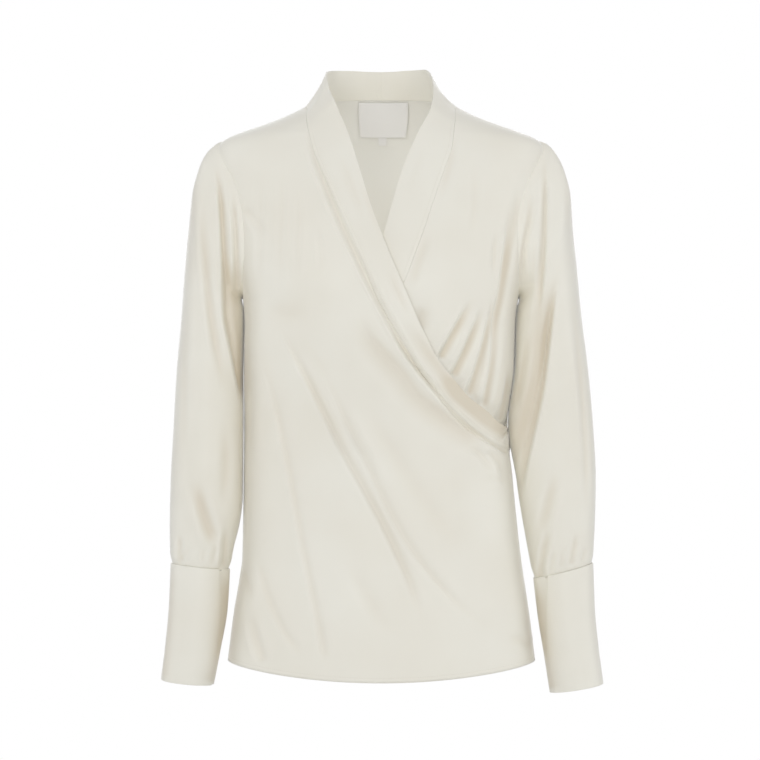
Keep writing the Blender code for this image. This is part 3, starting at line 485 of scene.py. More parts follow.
rightBand = {
    "name": "bandRight", "node": "collar_right", "flat": (0.080, 0.92),
    "stand": (
        (180.0, 0.0135, 0.0000, 0.0600, 0.0455), (171.0, 0.0135, 0.0105, 0.0596, 0.0456),
        (150.0, 0.0125, 0.0310, 0.0540, 0.0460), (120.0, 0.0085, 0.0530, 0.0360, 0.0445),
        (100.0, 0.0025, 0.0615, 0.0170, 0.0420), (90.0, 0.0000, 0.0635, 0.0020, 0.0385),
        (63.8, -0.0040, 0.0630, -0.0080, 0.0330), (42.9, -0.0165, 0.0595, -0.0270, 0.0170),
        (31.3, -0.0290, 0.0530, -0.0470, 0.0020),
    ),
    "lying": (
        (-0.0754, -0.0588, -0.0384, -0.0332, 0.007, 0.0024),
        (-0.0603, -0.0952, -0.0258, -0.0723, 0.003, 0.0022),
        (-0.0444, -0.1307, -0.0123, -0.1172, 0.001, 0.0020),
        (-0.0277, -0.1673, 0.0016, -0.1546, 0.000, 0.0020),
        (-0.0073, -0.2180, 0.0209, -0.2015, 0.000, 0.0020), (0.0231, -0.2721, 0.0469, -0.2610, 0.000, 0.0020),
        (0.0419, -0.3024, 0.0630, -0.2919, 0.000, 0.0022), (0.0632, -0.3284, 0.0810, -0.3140, 0.001, 0.0024),
        (0.0799, -0.3473, 0.0969, -0.3329, 0.0025, 0.0024),
        (0.1038, -0.3686, 0.1189, -0.3499, 0.0045, 0.0022),
        (0.1270, -0.3850, 0.1340, -0.3635, 0.0045, 0.0016), (0.1600, -0.4000, 0.1600, -0.3770, 0.002, 0.0008),
    ),
    "folds": (
        (((404, 318), (420, 342), (436, 364), (450, 384), (466, 402)), 7.0, 6.0, -3.0, 0.45, 0.30, 0.0),
        # the end turns in towards the side seam
        (((440, 370), (457, 392), (475, 409), (492, 422), (508, 431)), 8.0, 11.0, -7.0, 0.35, 0.02, 0.0),
        (((338, 150), (352, 186), (366, 222)), 5.0, 4.0, -0.9, 0.40, 0.40, 0.1),
        (((388, 268), (398, 292), (410, 318)), 3.0, 4.0, -1.4, 0.40, 0.40, 0.2),
        (((360, 176), (372, 212), (384, 246)), 3.0, 4.0, -0.8, 0.40, 0.40, 0.2),
    ),
}
leftBand = {
    "name": "bandLeft", "node": "collar_left", "flat": (0.080, 0.90),
    "stand": (
        (180.0, 0.0135, 0.0000, 0.0600, 0.0455), (171.0, 0.0135, 0.0105, 0.0596, 0.0457),
        (150.0, 0.0125, 0.0310, 0.0540, 0.0465), (120.0, 0.0085, 0.0500, 0.0360, 0.0460),
        (100.0, 0.0025, 0.0570, 0.0170, 0.0400), (90.0, 0.0000, 0.0600, 0.0020, 0.0290),
        (63.8, -0.0040, 0.0605, -0.0080, 0.0230), (42.9, -0.0165, 0.0600, -0.0260, 0.0100),
        (31.3, -0.0290, 0.0570, -0.0470, -0.0050),
    ),
    "lying": (
        (0.0798, -0.0531, 0.0430, -0.0340, 0.007, 0.0024), (0.0716, -0.0777, 0.0297, -0.0635, 0.003, 0.0022),
        (0.0624, -0.1032, 0.0206, -0.0890, 0.001, 0.0020), (0.0510, -0.1375, 0.0106, -0.1240, 0.000, 0.0016),
        (0.0398, -0.1691, 0.0022, -0.1546, 0.000, 0.0010), (0.0242, -0.2092, -0.0110, -0.1960, 0.000, 0.0004),
        (-0.0020, -0.2480, -0.0280, -0.2320, 0.000, 0.0002),
        (-0.0340, -0.2980, -0.0580, -0.2810, 0.000, 0.0002),
        (-0.0700, -0.3400, -0.0880, -0.3200, 0.000, 0.0002),
        (-0.1100, -0.3740, -0.1220, -0.3520, 0.000, 0.0002),
        (-0.1700, -0.4000, -0.1700, -0.3770, 0.000, 0.0002),
    ),
    "folds": (
        (((425, 140), (417, 168), (407, 200)), 4.0, 4.0, -0.4, 0.40, 0.40, 0.0),
    ),
}
bandCloth = {
    "wall": 0.0013, "columns": 22, "rows": 420, "standBulge": -0.0015, "neckCells": 6, "bandRows": 21,
    "crowding": 0.8, "deepest": 0.0022, "gap": 0.00012, "runStep": 0.004, "roundness": 0.0004,
    "seamDip": 0.0006, "seamDipRun": 0.006, "facing": 0.3,
}

upperFront = {
    "name": "upperFront", "node": "front_right", "hollowShadeShare": 0.48, "wall": 0.0008, "columns": 192, "rows": 250,
    "flat": (0.50, 0.66),
    "folds": (
        # long drag lines from the bust to the hem
        (((278, 321), (289, 346), (304, 374), (326, 418), (345, 456), (365, 492), (386, 532), (399, 560),
          (411, 588), (424, 630)),
         2.1, 5.4, -3.8, 0.22, 0.22, 0.12),
        (((318, 360), (332, 392), (348, 426), (366, 462), (385, 503), (404, 538), (427, 570), (456, 603),
          (493, 634)),
         2.1, 5.0, -2.4, 0.30, 0.25, 0.15),
        (((258, 348), (265, 370), (280, 427), (291, 484), (302, 545), (313, 600), (320, 636), (324, 664)),
         2.2, 5.2, -2.6, 0.30, 0.06, 0.15),
        (((352, 396), (378, 430), (404, 470), (434, 516), (470, 556)), 9.0, 10.0, -2.0, 0.35, 0.40, 0.0),
        (((254, 548), (262, 580), (271, 606), (287, 637), (305, 660)), 2.4, 5.0, -2.0, 0.35, 0.20, 0.15),
        (((345, 560), (358, 584), (374, 611), (392, 640)), 6.0, 9.0, -1.4, 0.40, 0.40, 0.10),
        (((290, 330), (310, 356), (330, 384)), 8.0, 9.0, -1.4, 0.40, 0.40, 0.0),
        # broad shadow under the band
        (((356, 312), (366, 332), (384, 354), (402, 374), (418, 396), (438, 412), (456, 425), (474, 436),
          (488, 444)),
         13.0, 6.0, -5.2, 0.25, 0.15, 0.10),
        # the seam's own line towards the wrap's end
        (((386, 320), (406, 352), (426, 378), (444, 402), (462, 421), (484, 438), (507, 454)), 1.8, 2.2, -3.6,
         0.30, 0.03, 0.0),
        # the strip between the panel's soft edge and the band's seam
        (((307, 112), (311, 144), (324, 182), (334, 207), (346, 235), (357, 258), (366, 277), (376, 297),
          (391, 325),
          (404, 349), (418, 370), (431, 385), (447, 401), (462, 416)), 2.6, 3.4, -2.8, 0.18, 0.25, 0.40),
        # under the bust
        (((262, 306), (285, 313), (310, 313)), 10.0, 9.0, -2.0, 0.40, 0.40, 0.0),
        # side, hem and wrap end
        (((243, 560), (246, 580), (250, 602)), 4.0, 4.0, -1.8, 0.40, 0.40, 0.2),
        (((250, 612), (255, 638), (263, 662)), 4.0, 5.0, -2.6, 0.40, 0.04, 0.3),
        (((470, 446), (484, 458), (497, 476)), 3.0, 4.0, -2.0, 0.25, 0.50, 0.3),
        (((488, 450), (500, 464), (506, 490)), 3.0, 3.5, -2.2, 0.15, 0.50, 0.3),
        (((478, 480), (492, 478), (506, 482)), 2.5, 2.5, -0.9, 0.50, 0.20, 0.3),
        (((507, 643), (518, 640), (533, 649)), 4.0, 4.0, -1.6, 0.40, 0.30, 0.2),
        # faint streaks down the chest
        (((262, 170), (260, 230), (258, 292)), 3.2, 3.2, -0.75, 0.35, 0.35, 0.3),
        (((283, 165), (281, 235), (280, 296)), 4.0, 3.0, -0.85, 0.35, 0.35, 0.3),
        (((300, 185), (298, 235), (296, 285)), 3.0, 3.0, -0.65, 0.35, 0.35, 0.3),
        (((318, 215), (320, 245), (322, 280)), 3.0, 3.0, -0.55, 0.35, 0.35, 0.3),
        # pulls from the armhole and down the wearer's right side
        (((243, 208), (254, 220), (266, 244)), 4.0, 4.0, -1.4, 0.10, 0.60, 0.3),
        (((244, 330), (250, 400), (247, 470)), 5.0, 5.0, -1.6, 0.40, 0.40, 0.2),
    ),
}
lowerFront = {
    "name": "lowerFront", "node": "front_left", "hollowShadeShare": 0.95, "wall": 0.0008, "columns": 160, "rows": 210,
    "flat": (0.47, 0.66),
    "sink": 0.0042, "sinkHidden": 0.0074, "sinkAtSeam": 0.0034, "sinkRun": 0.035, "seamRamp": (70.0, 88.0),
    "folds": (
        # pleats that the wrap pulls up from its edge
        (((474, 296), (464, 314), (455, 330), (447, 345), (440, 358)), 2.4, 4.6, -5.4, 0.50, 0.04, 0.30),
        (((484, 304), (476, 324), (467, 346), (453, 376)), 2.4, 4.8, -5.8, 0.50, 0.04, 0.30),
        (((500, 284), (491, 316), (482, 352), (469, 396)), 2.6, 4.6, -5.4, 0.50, 0.04, 0.30),
        (((511, 196), (507, 241), (504, 267), (500, 298), (496, 322), (492, 361), (484, 410)), 2.4, 4.2, -4.8,
         0.35, 0.04, 0.30),
        (((509, 366), (506, 392), (500, 421)), 2.4, 3.0, -2.6, 0.40, 0.04, 0.30),
        (((488, 350), (483, 372), (475, 400)), 2.0, 2.6, -1.6, 0.45, 0.04, 0.30),
        # long soft ones higher up
        (((496, 228), (494, 255), (493, 280)), 2.4, 2.4, -1.3, 0.40, 0.40, 0.3),
        (((424, 304), (421, 318), (421, 332)), 6.0, 7.0, -2.2, 0.40, 0.20, 0.1),
        (((519, 185), (515, 225), (508, 262), (503, 300)), 4.0, 4.0, -2.4, 0.35, 0.40, 0.25),
        (((430, 232), (420, 258), (412, 286)), 5.0, 5.0, -1.6, 0.40, 0.20, 0.2),
        (((455, 130), (450, 160), (438, 205)), 4.0, 4.0, -1.3, 0.40, 0.40, 0.2),
        (((474, 160), (474, 200), (470, 240)), 4.0, 4.0, -0.7, 0.40, 0.40, 0.3),
    ),
}
backPanel = {
    "name": "backPanel", "node": "back", "hollowShadeShare": 0.5, "wall": 0.0008, "columns": 184, "rows": 180,
    "flat": (0.47, 0.70),
    "neckCells": 6, "shoulderCells": 6, "lowerRows": 10, "shoulderFade": 0.60,
    "folds": (
        (((333, 276), (326, 384), (335, 482)), 10.0, 8.0, -5.6, 0.35, 0.40, 0.25),
        (((424, 296), (433, 393), (430, 502)), 8.0, 10.0, -5.2, 0.35, 0.40, 0.25),
        (((281, 360), (300, 445), (306, 546)), 8.0, 9.0, -4.2, 0.35, 0.40, 0.25),
        (((478, 352), (466, 428), (460, 560)), 9.0, 8.0, -4.4, 0.35, 0.40, 0.25),
        (((374, 470), (383, 556), (376, 650)), 12.0, 11.0, -3.4, 0.40, 0.10, 0.25),
        (((352, 205), (356, 260), (349, 325)), 6.0, 6.0, -1.6, 0.40, 0.40, 0.25),
        (((405, 222), (402, 280), (408, 335)), 6.0, 6.0, -1.4, 0.40, 0.40, 0.25),
        (((250, 545), (262, 600), (272, 652)), 7.0, 7.0, -3.0, 0.40, 0.10, 0.3),
        (((505, 530), (498, 596), (500, 650)), 7.0, 7.0, -2.8, 0.40, 0.10, 0.3),
        (((300, 380), (340, 392), (380, 390)), 7.0, 7.0, -1.4, 0.40, 0.40, 0.2),
        (((420, 410), (452, 402), (480, 384)), 7.0, 7.0, -1.4, 0.40, 0.40, 0.2),
    ),
}
for table in (upperFront, lowerFront, backPanel, rightBand, leftBand):
    table["relief"] = Folds(table["folds"])


def upperEdgeCurve():  # x of the upper band's free edge at each height
    points = [(row["edgeZ"], row["edgeX"]) for row in namedRows(flatColumns, rightBand["lying"])]
    for row in namedRows(standColumns, rightBand["stand"]):
        if row["seamAngle"] < 90.0:
            points.append((row["edgeHeight"], -row["edgeSide"]))
    points.sort()
    return smoothCurve([z for z, x in points], [x for z, x in points])


upperEdge = upperEdgeCurve()


def upperFrontPoint(angle, height):
    flat = bodyPoint(angle, height)
    return bodyPoint(angle, height, upperFront["relief"].heightAt(flat))


def lowerFrontPoint(angle, height):
    flat = bodyPoint(angle, height)
    run = lowerFront["sinkRun"]
    shown = np.where(height < rightBand["lying"][-1][3], -run, flat[:, 0] - upperEdge(height))
    covered = 1.0 - ease(shown / run)
    hidden = ease(-shown / run)
    start, end = lowerFront["seamRamp"]
    atSeam = ease((np.abs(angle) - start) / (end - start))
    sink = mix(lowerFront["sink"], lowerFront["sinkHidden"], hidden)
    sink = covered * mix(sink, lowerFront["sinkAtSeam"], atSeam)
    return bodyPoint(angle, height, lowerFront["relief"].heightAt(flat) * (1.0 - hidden) - sink)


class Neckline:
    def __init__(self, side, table, panelPoint):
        self.side = side
        self.panelPoint = panelPoint
        self.relief = table["relief"]
        stand = namedRows(standColumns, table["stand"])
        lying = namedRows(flatColumns, table["lying"])
        seamAngle = [side * row["seamAngle"] for row in stand]
        seamAngle += [float(angleAt(row["seamX"], row["seamZ"])) for row in lying]
        seamHeight = np.array([row["seamHeight"] for row in stand] + [row["seamZ"] for row in lying])
        edgeX = np.array([row["edgeX"] for row in lying])
        edgeZ = np.array([row["edgeZ"] for row in lying])
        standEdge = [(side * row["edgeSide"], row["edgeDepth"], row["edgeHeight"]) for row in stand]
        edge = np.concatenate((np.array(standEdge), panelPoint(angleAt(edgeX, edgeZ), edgeZ)))
        places = bodyPoint(np.array(seamAngle), seamHeight)
        keys = runAlong(places)
        keys /= keys[-1]
        # where the band crosses the shoulder, lies down on the panel, and its seam's angle is read otherwise
        self.shoulder = keys[[row["seamAngle"] for row in stand].index(90.0)]
        self.liesFrom = keys[len(stand) - 1]
        self.liesFully = keys[len(stand) + 1]
        self.turnsFrom = keys[len(stand) - 3]
        self.turnsFully = keys[len(stand) - 2]
        self.turnsBack = keys[len(stand) + 2]
        self.seamAngle = smoothCurve(keys, seamAngle)
        self.seamX = smoothCurve(keys, places[:, 0])
        self.height = smoothCurve(keys, seamHeight)
        self.edge = [smoothCurve(keys, edge[:, axis]) for axis in range(3)]
        self.edgeX = smoothCurve(keys, [side * row["edgeSide"] for row in stand] + list(edgeX))
        self.edgeZ = smoothCurve(keys, [row["edgeHeight"] for row in stand] + list(edgeZ))
        self.rise = smoothCurve(keys, [0.0] * len(stand) + [row["edgeRise"] for row in lying])
        bulges = [bandCloth["standBulge"]] * len(stand) + [row["bulge"] for row in lying]
        self.bulge = smoothCurve(keys, bulges)

    def angle(self, t):
        # round the neck it follows the table, in front it keeps a straight run in the picture
        turned = ease((t - self.turnsFrom) / (self.turnsFully - self.turnsFrom))
        turned = turned * ease((self.turnsBack - t) / (self.turnsBack - self.liesFully))
        return mix(self.seamAngle(t), angleAt(self.seamX(t), self.height(t)), turned)

    def seamPoint(self, t):
        return self.panelPoint(self.angle(t), self.height(t))

    def bandPoint(self, t, across, lift=0.0):
        seam = self.seamPoint(t)
        edge = np.stack([curve(t) for curve in self.edge], axis=1)
        step = bandCloth["runStep"]
        run = self.seamPoint(np.minimum(t + step, 1.0)) - self.seamPoint(np.maximum(t - step, 0.0))
        outward = unit(np.cross(edge - seam, run)) * self.side
        across = mix(bandCloth["gap"] / np.linalg.norm(edge - seam, axis=1), 1.0, across)
        point = seam + (edge - seam) * across[:, None]
        lies = ease((t - self.liesFrom) / (self.liesFully - self.liesFrom))
        x = mix(bodyPoint(self.angle(t), self.height(t))[:, 0], self.edgeX(t), across)
        z = mix(self.height(t), self.edgeZ(t), across)
        onPanel = self.panelPoint(angleAt(x, z), z)
        point = np.where(lies[:, None] > 0.0, mix(point, onPanel, lies[:, None]), point)
        point[:, 1] -= self.rise(t) * across ** 2
        arch = 4.0 * across * (1.0 - across)
        relief = np.maximum(self.relief.heightAt(point), -bandCloth["deepest"])
        out = (self.bulge(t) + np.where(lies > 0.0, relief, 0.0)) * arch + lift
        return point + outward * out[:, None]


necks = {-1: Neckline(-1.0, rightBand, upperFrontPoint), 1: Neckline(1.0, leftBand, lowerFrontPoint)}


def bandShare(row):  # the rows beside the band crowd towards the shoulder
    share = row / bandCloth["bandRows"]
    return share * (1.0 - bandCloth["crowding"] * (1.0 - share) ** 3)


# the two wrap fronts

skirtRows = 10  # rows of the panel's pattern below the wrap's end, the others lie beside the band
wrapRows = bandCloth["bandRows"]


def outerEdge(row):  # angle and height down the armhole and the side seam
    armRows = bodyForm["armholeRows"]
    beside = armholeHeight(np.minimum(row, armRows))
    angle = np.where(row <= armRows, armhole["frontAngle"](beside), 90.0)
    side = mix(bodyForm["underarm"], bodyForm["wrapEnd"], (row - armRows) / (wrapRows - armRows))
    skirt = mix(bodyForm["wrapEnd"], bodyForm["hemSide"], (row - wrapRows) / skirtRows)
    height = np.where(row <= armRows, beside, np.where(row <= wrapRows, side, skirt))
    return angle, height


def hemSag(angle, drop):
    return -drop * np.maximum(np.cos(np.radians(angle)), 0.0) ** bodyForm["hemRoundness"]


def sideGap(angle):  # only the points on the side seams move
    return np.where(np.abs(np.abs(angle) - 90.0) < bodyForm["seamReach"], bodyForm["seamGap"], 0.0)


def frontPlace(side):
    neck = necks[side]

    def place(u, v):
        row = v * (wrapRows + skirtRows)
        outerAngle, outerHeight = outerEdge(row)
        outerAngle = outerAngle * side
        t = mix(neck.shoulder, 1.0, bandShare(np.minimum(row, wrapRows)))
        innerAngle = np.where(row <= wrapRows, neck.angle(t), -outerAngle)
        innerHeight = np.where(row <= wrapRows, neck.height(t), outerHeight)
        angle = mix(outerAngle, innerAngle, u)
        height = mix(outerHeight, innerHeight, u)
        sag = hemSag(angle, bodyForm["hemDrop"] * (row - wrapRows) / skirtRows)
        point = neck.panelPoint(angle, height + np.where(row > wrapRows, sag, 0.0))
        point[:, 1] -= sideGap(angle)
        return point

    return place


def clothArea(piece):  # area of one side, before the wall is given
    return sum(polygon.area for polygon in piece.data.polygons)


def declareSheet(piece, area, flat):
    # the cut's rectangle keeps its proportions and always holds the cut
    fullest = 0.98
    width, length = flat
    grow = max(1.0, math.sqrt(area / (fullest * width * length)))
    width * grow
    length * grow
    print("sheet %s %.3f x %.3f m, %.3f square metres" % (piece.name, width * grow, length * grow, area))


bothSides = (satin, satinReverse)


def makePiece(table, place, facing, heightAt=None, finishes=bothSides):
    ring = table.get("ring", False)
    piece = sheetMesh(table["name"], table["columns"], table["rows"], place, facing, ring)
    if heightAt is not None:
        # paint shade into the folds' hollows, this piece taking its own share of it
        paintHollowShade(piece, heightAt, table.get("hollowShadeShare", 1.0))
    area = clothArea(piece)
    giveWall(piece, table["wall"], finishes, table.get("roundness", 0.0))
    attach(piece, "root")
    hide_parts(table["node"])
    declareSheet(piece, area, table["flat"])


for table, side in ((upperFront, -1), (lowerFront, 1)):
    makePiece(table, frontPlace(side), fromAxis, table["relief"].heightAt)
print("fronts made")


# the back

def backPlace(u, v):
    table = backPanel
    half = table["neckCells"] + table["shoulderCells"]
    armRows = bodyForm["armholeRows"]
    side = np.where(u < 0.5, -1.0, 1.0)
    cell = np.abs(u - 0.5) * 2.0 * half
    row = v * (armRows + table["lowerRows"])

    def distance(angle, height):
        return np.abs(bodyPoint(side * (180.0 - angle), height)[:, 0])

    # along the neck and the shoulder
    topAngle = np.full_like(u, 90.0)
    beyondNeck = np.maximum(cell - table["neckCells"], 0.0) / table["shoulderCells"]
    topHeight = mix(0.0, bodyForm["shoulderPoint"], beyondNeck)
    for which in (-1, 1):
        neck = necks[which]
        t = neck.shoulder * np.minimum(cell, table["neckCells"]) / table["neckCells"]
        here = (side == which) & (cell <= table["neckCells"])
        topAngle = np.where(here, 180.0 - np.abs(neck.angle(t)), topAngle)
        topHeight = np.where(here, neck.height(t), topHeight)
    # beside the armhole the columns run straight down
    edgeHeight = armholeHeight(np.minimum(row, armRows))
    edgeAngle = armhole["backAngle"](edgeHeight)
    down = (edgeHeight - bodyForm["shoulderPoint"]) / (bodyForm["underarm"] - bodyForm["shoulderPoint"])
    topShare = distance(topAngle, topHeight) / distance(90.0, bodyForm["shoulderPoint"])
    lowShare = distance(90.0 * cell / half, bodyForm["underarm"]) / distance(90.0, bodyForm["underarm"])
    lift = (topHeight - bodyForm["shoulderPoint"]) * (1.0 - ease(down / table["shoulderFade"]))
    upperHeight = edgeHeight + lift
    x = distance(edgeAngle, edgeHeight) * mix(topShare, lowShare, down)
    upperAngle = backAngleAt(side, x, upperHeight)
    upperAngle = np.where(cell > half - 1e-6, edgeAngle, upperAngle)
    upperAngle = np.where(row < 1e-6, topAngle, upperAngle)
    upperHeight = np.where(row < 1e-6, topHeight, upperHeight)
    lowerDown = (row - armRows) / table["lowerRows"]
    lowerAngle = 90.0 * cell / half
    lowerHeight = mix(bodyForm["underarm"], bodyForm["hemSide"], lowerDown)
    lowerHeight = lowerHeight + hemSag(lowerAngle, bodyForm["hemDrop"] * lowerDown)
    angle = np.where(row <= armRows, upperAngle, lowerAngle)
    height = np.where(row <= armRows, upperHeight, lowerHeight)
    flat = bodyPoint(side * (180.0 - angle), height)
    point = bodyPoint(side * (180.0 - angle), height, table["relief"].heightAt(flat))
    point[:, 1] += sideGap(angle)
    return point


makePiece(backPanel, backPlace, fromAxis, backPanel["relief"].heightAt)
print("back made")


# the collar band, two halves

def bandPlace(side):
    neck = necks[side]
    neckCells = bandCloth["neckCells"]

    def place(u, v):
        row = v * (neckCells + bandCloth["bandRows"])
        inFront = mix(neck.shoulder, 1.0, bandShare(np.maximum(row - neckCells, 0.0)))
        t = np.where(row <= neckCells, neck.shoulder * row / neckCells, inFront)
        # a fine valley at the centre back seam
        dip = bandCloth["seamDip"] * np.exp(-(v / bandCloth["seamDipRun"]) ** 2)
        return neck.bandPoint(t, u, -dip)

    return place


for table, side in ((rightBand, -1), (leftBand, 1)):
    facing = awayFrom((-side * bandCloth["facing"], 1.0, 0.0))
    table = {**bandCloth, **table}
    makePiece(table, bandPlace(side), facing, table["relief"].heightAt, (satin, satin))
print("collar band made")


# sleeves and cuffs

limbColumns = ("along", "outerX", "outerZ", "innerX", "innerZ", "front", "back", "forward")
rightSleeve = {
    "name": "sleeveRight", "node": "sleeve_right", "side": -1.0, "flat": (0.36, 0.49),
    "pressed": (-0.205, -0.505),
    "rings": (
        (0.00, 0.1820, -0.0410, 0.1590, -0.2200, 0.066, 0.068, 0.000),
        (0.016, 0.1905, -0.0440, 0.1600, -0.2202, 0.066, 0.068, 0.000),
        (0.035, 0.2000, -0.0530, 0.1612, -0.2204, 0.065, 0.067, 0.000),
        (0.07, 0.2090, -0.0730, 0.1624, -0.2212, 0.064, 0.066, 0.000),
        (0.13, 0.2165, -0.1000, 0.1630, -0.2238, 0.062, 0.064, 0.000),
        (0.22, 0.2215, -0.1450, 0.1625, -0.2320, 0.059, 0.062, 0.000),
        (0.31, 0.2255, -0.1900, 0.1628, -0.2470, 0.058, 0.060, 0.001),
        (0.42, 0.2295, -0.2450, 0.1628, -0.2780, 0.056, 0.057, 0.003),
        (0.54, 0.2345, -0.3050, 0.1625, -0.3220, 0.053, 0.054, 0.006),
        (0.67, 0.2380, -0.3710, 0.1618, -0.3800, 0.050, 0.050, 0.009),
        (0.78, 0.2410, -0.4280, 0.1618, -0.4330, 0.047, 0.046, 0.012),
        (0.89, 0.2420, -0.4800, 0.1645, -0.4840, 0.043, 0.042, 0.015),
        (0.96, 0.2415, -0.5080, 0.1700, -0.5140, 0.038, 0.038, 0.017),
        (1.00, 0.2405, -0.5235, 0.1728, -0.5305, 0.034, 0.034, 0.018),
    ),
    "frontFolds": (
        # the sharp edge beside the recessed part, then the softer one outside it
        (((213, 160), (219, 187), (222, 227), (224, 277), (225, 317), (231, 345), (237, 377), (243, 408)),
         1.8, 4.0, -5.0, 0.20, 0.12, 0.20),
        (((225, 240), (227, 300), (232, 340), (239, 377), (245, 408)), 2.4, 14.0, -7.0, 0.35, 0.20, 0.0),
        (((200, 196), (203, 235), (207, 285), (212, 325), (220, 366), (227, 396)), 3.5, 5.0, -3.0, 0.35, 0.30,
         0.30),
        (((194, 478), (203, 512), (216, 548)), 6.0, 6.0, -4.2, 0.40, 0.25, 0.3),
        (((225, 420), (226, 466), (221, 512)), 5.0, 5.0, -2.0, 0.40, 0.40, 0.2),
        (((179, 532), (180, 546), (180, 562)), 2.8, 2.8, -2.2, 0.40, 0.04, 0.4),
        (((226, 524), (225, 546), (223, 566)), 2.8, 3.4, -2.6, 0.40, 0.04, 0.4),
        (((188, 545), (186, 552), (182, 560)), 2.2, 3.2, -1.5, 0.50, 0.04, 0.4),
        (((205, 546), (204, 552), (202, 561)), 2.6, 2.6, -0.8, 0.50, 0.04, 0.4),
        (((216, 542), (215, 552), (213, 562)), 2.4, 2.4, -1.0, 0.50, 0.04, 0.4),
        (((233, 190), (236, 240), (237, 310)), 2.4, 2.6, -2.6, 0.20, 0.50, 0.3),
        (((186, 300), (184, 380), (183, 470)), 4.0, 4.0, -1.2, 0.40, 0.40, 0.4),
        (((196, 172), (192, 205), (191, 250)), 4.0, 4.0, -1.2, 0.40, 0.40, 0.3),
    ),
    "backFolds": (
        (((220, 210), (216, 305), (226, 390)), 9.0, 10.0, -4.8, 0.35, 0.35, 0.2),
        (((189, 390), (200, 442), (217, 476)), 8.0, 9.0, -3.8, 0.35, 0.35, 0.2),
        (((202, 518), (202, 540), (202, 562)), 4.0, 4.0, -2.0, 0.40, 0.04, 0.3),
        (((184, 524), (184, 545), (184, 562)), 3.0, 3.0, -1.6, 0.40, 0.04, 0.3),
        (((196, 180), (194, 240), (200, 300)), 7.0, 7.0, -2.0, 0.40, 0.40, 0.2),
    ),
}
leftSleeve = {
    "name": "sleeveLeft", "node": "sleeve_left", "side": 1.0, "flat": (0.36, 0.50),
    "pressed": (-0.205, -0.432),
    "rings": (
        (0.00, 0.1820, -0.0410, 0.1580, -0.2200, 0.066, 0.068, 0.000),
        (0.016, 0.1920, -0.0440, 0.1590, -0.2202, 0.066, 0.068, 0.000),
        (0.035, 0.2020, -0.0560, 0.1602, -0.2204, 0.065, 0.067, 0.000),
        (0.07, 0.2100, -0.0740, 0.1614, -0.2212, 0.064, 0.066, 0.000),
        (0.13, 0.2175, -0.1020, 0.1620, -0.2238, 0.062, 0.064, 0.000),
        (0.22, 0.2210, -0.1450, 0.1602, -0.2320, 0.059, 0.062, 0.000),
        (0.31, 0.2255, -0.1900, 0.1592, -0.2470, 0.058, 0.060, 0.001),
        (0.42, 0.2305, -0.2450, 0.1585, -0.2780, 0.056, 0.057, 0.003),
        (0.54, 0.2380, -0.3060, 0.1570, -0.3220, 0.053, 0.053, 0.006),
        (0.67, 0.2435, -0.3700, 0.1510, -0.3800, 0.048, 0.048, 0.009),
        (0.78, 0.2462, -0.4250, 0.1560, -0.4350, 0.045, 0.044, 0.012),
        (0.89, 0.2450, -0.4760, 0.1645, -0.4890, 0.041, 0.040, 0.015),
        (0.96, 0.2435, -0.5050, 0.1705, -0.5220, 0.037, 0.037, 0.017),
        (1.00, 0.2427, -0.5235, 0.1742, -0.5405, 0.034, 0.034, 0.018),
    ),
    "frontFolds": (
        # the main edge with its valley on the inner side
        (((560, 262), (553, 306), (547, 350), (543, 384), (535, 422), (526, 462), (519, 504)), 4.0, 1.8, -5.0,
         0.35, 0.20, 0.20),
        (((555, 270), (549, 320), (543, 366), (533, 410), (523, 450), (516, 486)), 14.0, 2.4, -7.0, 0.35,
         0.30, 0.0),
        (((545, 152), (545, 200), (544, 243), (541, 282), (536, 330)), 3.6, 2.0, -3.6, 0.25, 0.35, 0.25),
        (((570, 280), (580, 370), (585, 447), (587, 530)), 3.0, 3.0, -1.5, 0.30, 0.30, 0.5),
        (((528, 330), (522, 370), (514, 412)), 3.0, 3.5, -2.2, 0.40, 0.30, 0.3),
        (((556, 470), (548, 504), (538, 540)), 5.0, 5.0, -2.4, 0.40, 0.40, 0.3),
        (((577, 532), (574, 548), (571, 564)), 2.8, 3.2, -2.2, 0.40, 0.04, 0.4),
        (((549, 526), (543, 552), (539, 578)), 2.8, 3.4, -2.6, 0.40, 0.04, 0.4),
        (((563, 548), (562, 556), (561, 566)), 2.4, 2.4, -0.9, 0.50, 0.04, 0.4),
        (((555, 548), (552, 558), (549, 571)), 2.4, 2.8, -1.2, 0.50, 0.04, 0.4),
        (((586, 545), (584, 553), (581, 562)), 2.4, 2.8, -1.2, 0.50, 0.04, 0.4),
        (((531, 190), (529, 215), (523, 248), (519, 292)), 2.6, 3.2, -2.6, 0.30, 0.40, 0.3),
        (((566, 180), (569, 215), (570, 250)), 4.0, 4.0, -1.0, 0.40, 0.40, 0.3),
    ),
    "backFolds": (
        (((546, 218), (550, 314), (540, 405)), 10.0, 9.0, -4.6, 0.35, 0.35, 0.2),
        (((577, 409), (565, 457), (544, 488)), 9.0, 8.0, -4.0, 0.35, 0.35, 0.2),
        (((564, 524), (564, 546), (564, 566)), 4.0, 4.0, -1.8, 0.40, 0.04, 0.3),
        (((583, 528), (583, 546), (583, 562)), 3.0, 3.0, -1.6, 0.40, 0.04, 0.3),
        (((568, 190), (571, 250), (565, 310)), 7.0, 7.0, -2.0, 0.40, 0.40, 0.2),
    ),
}
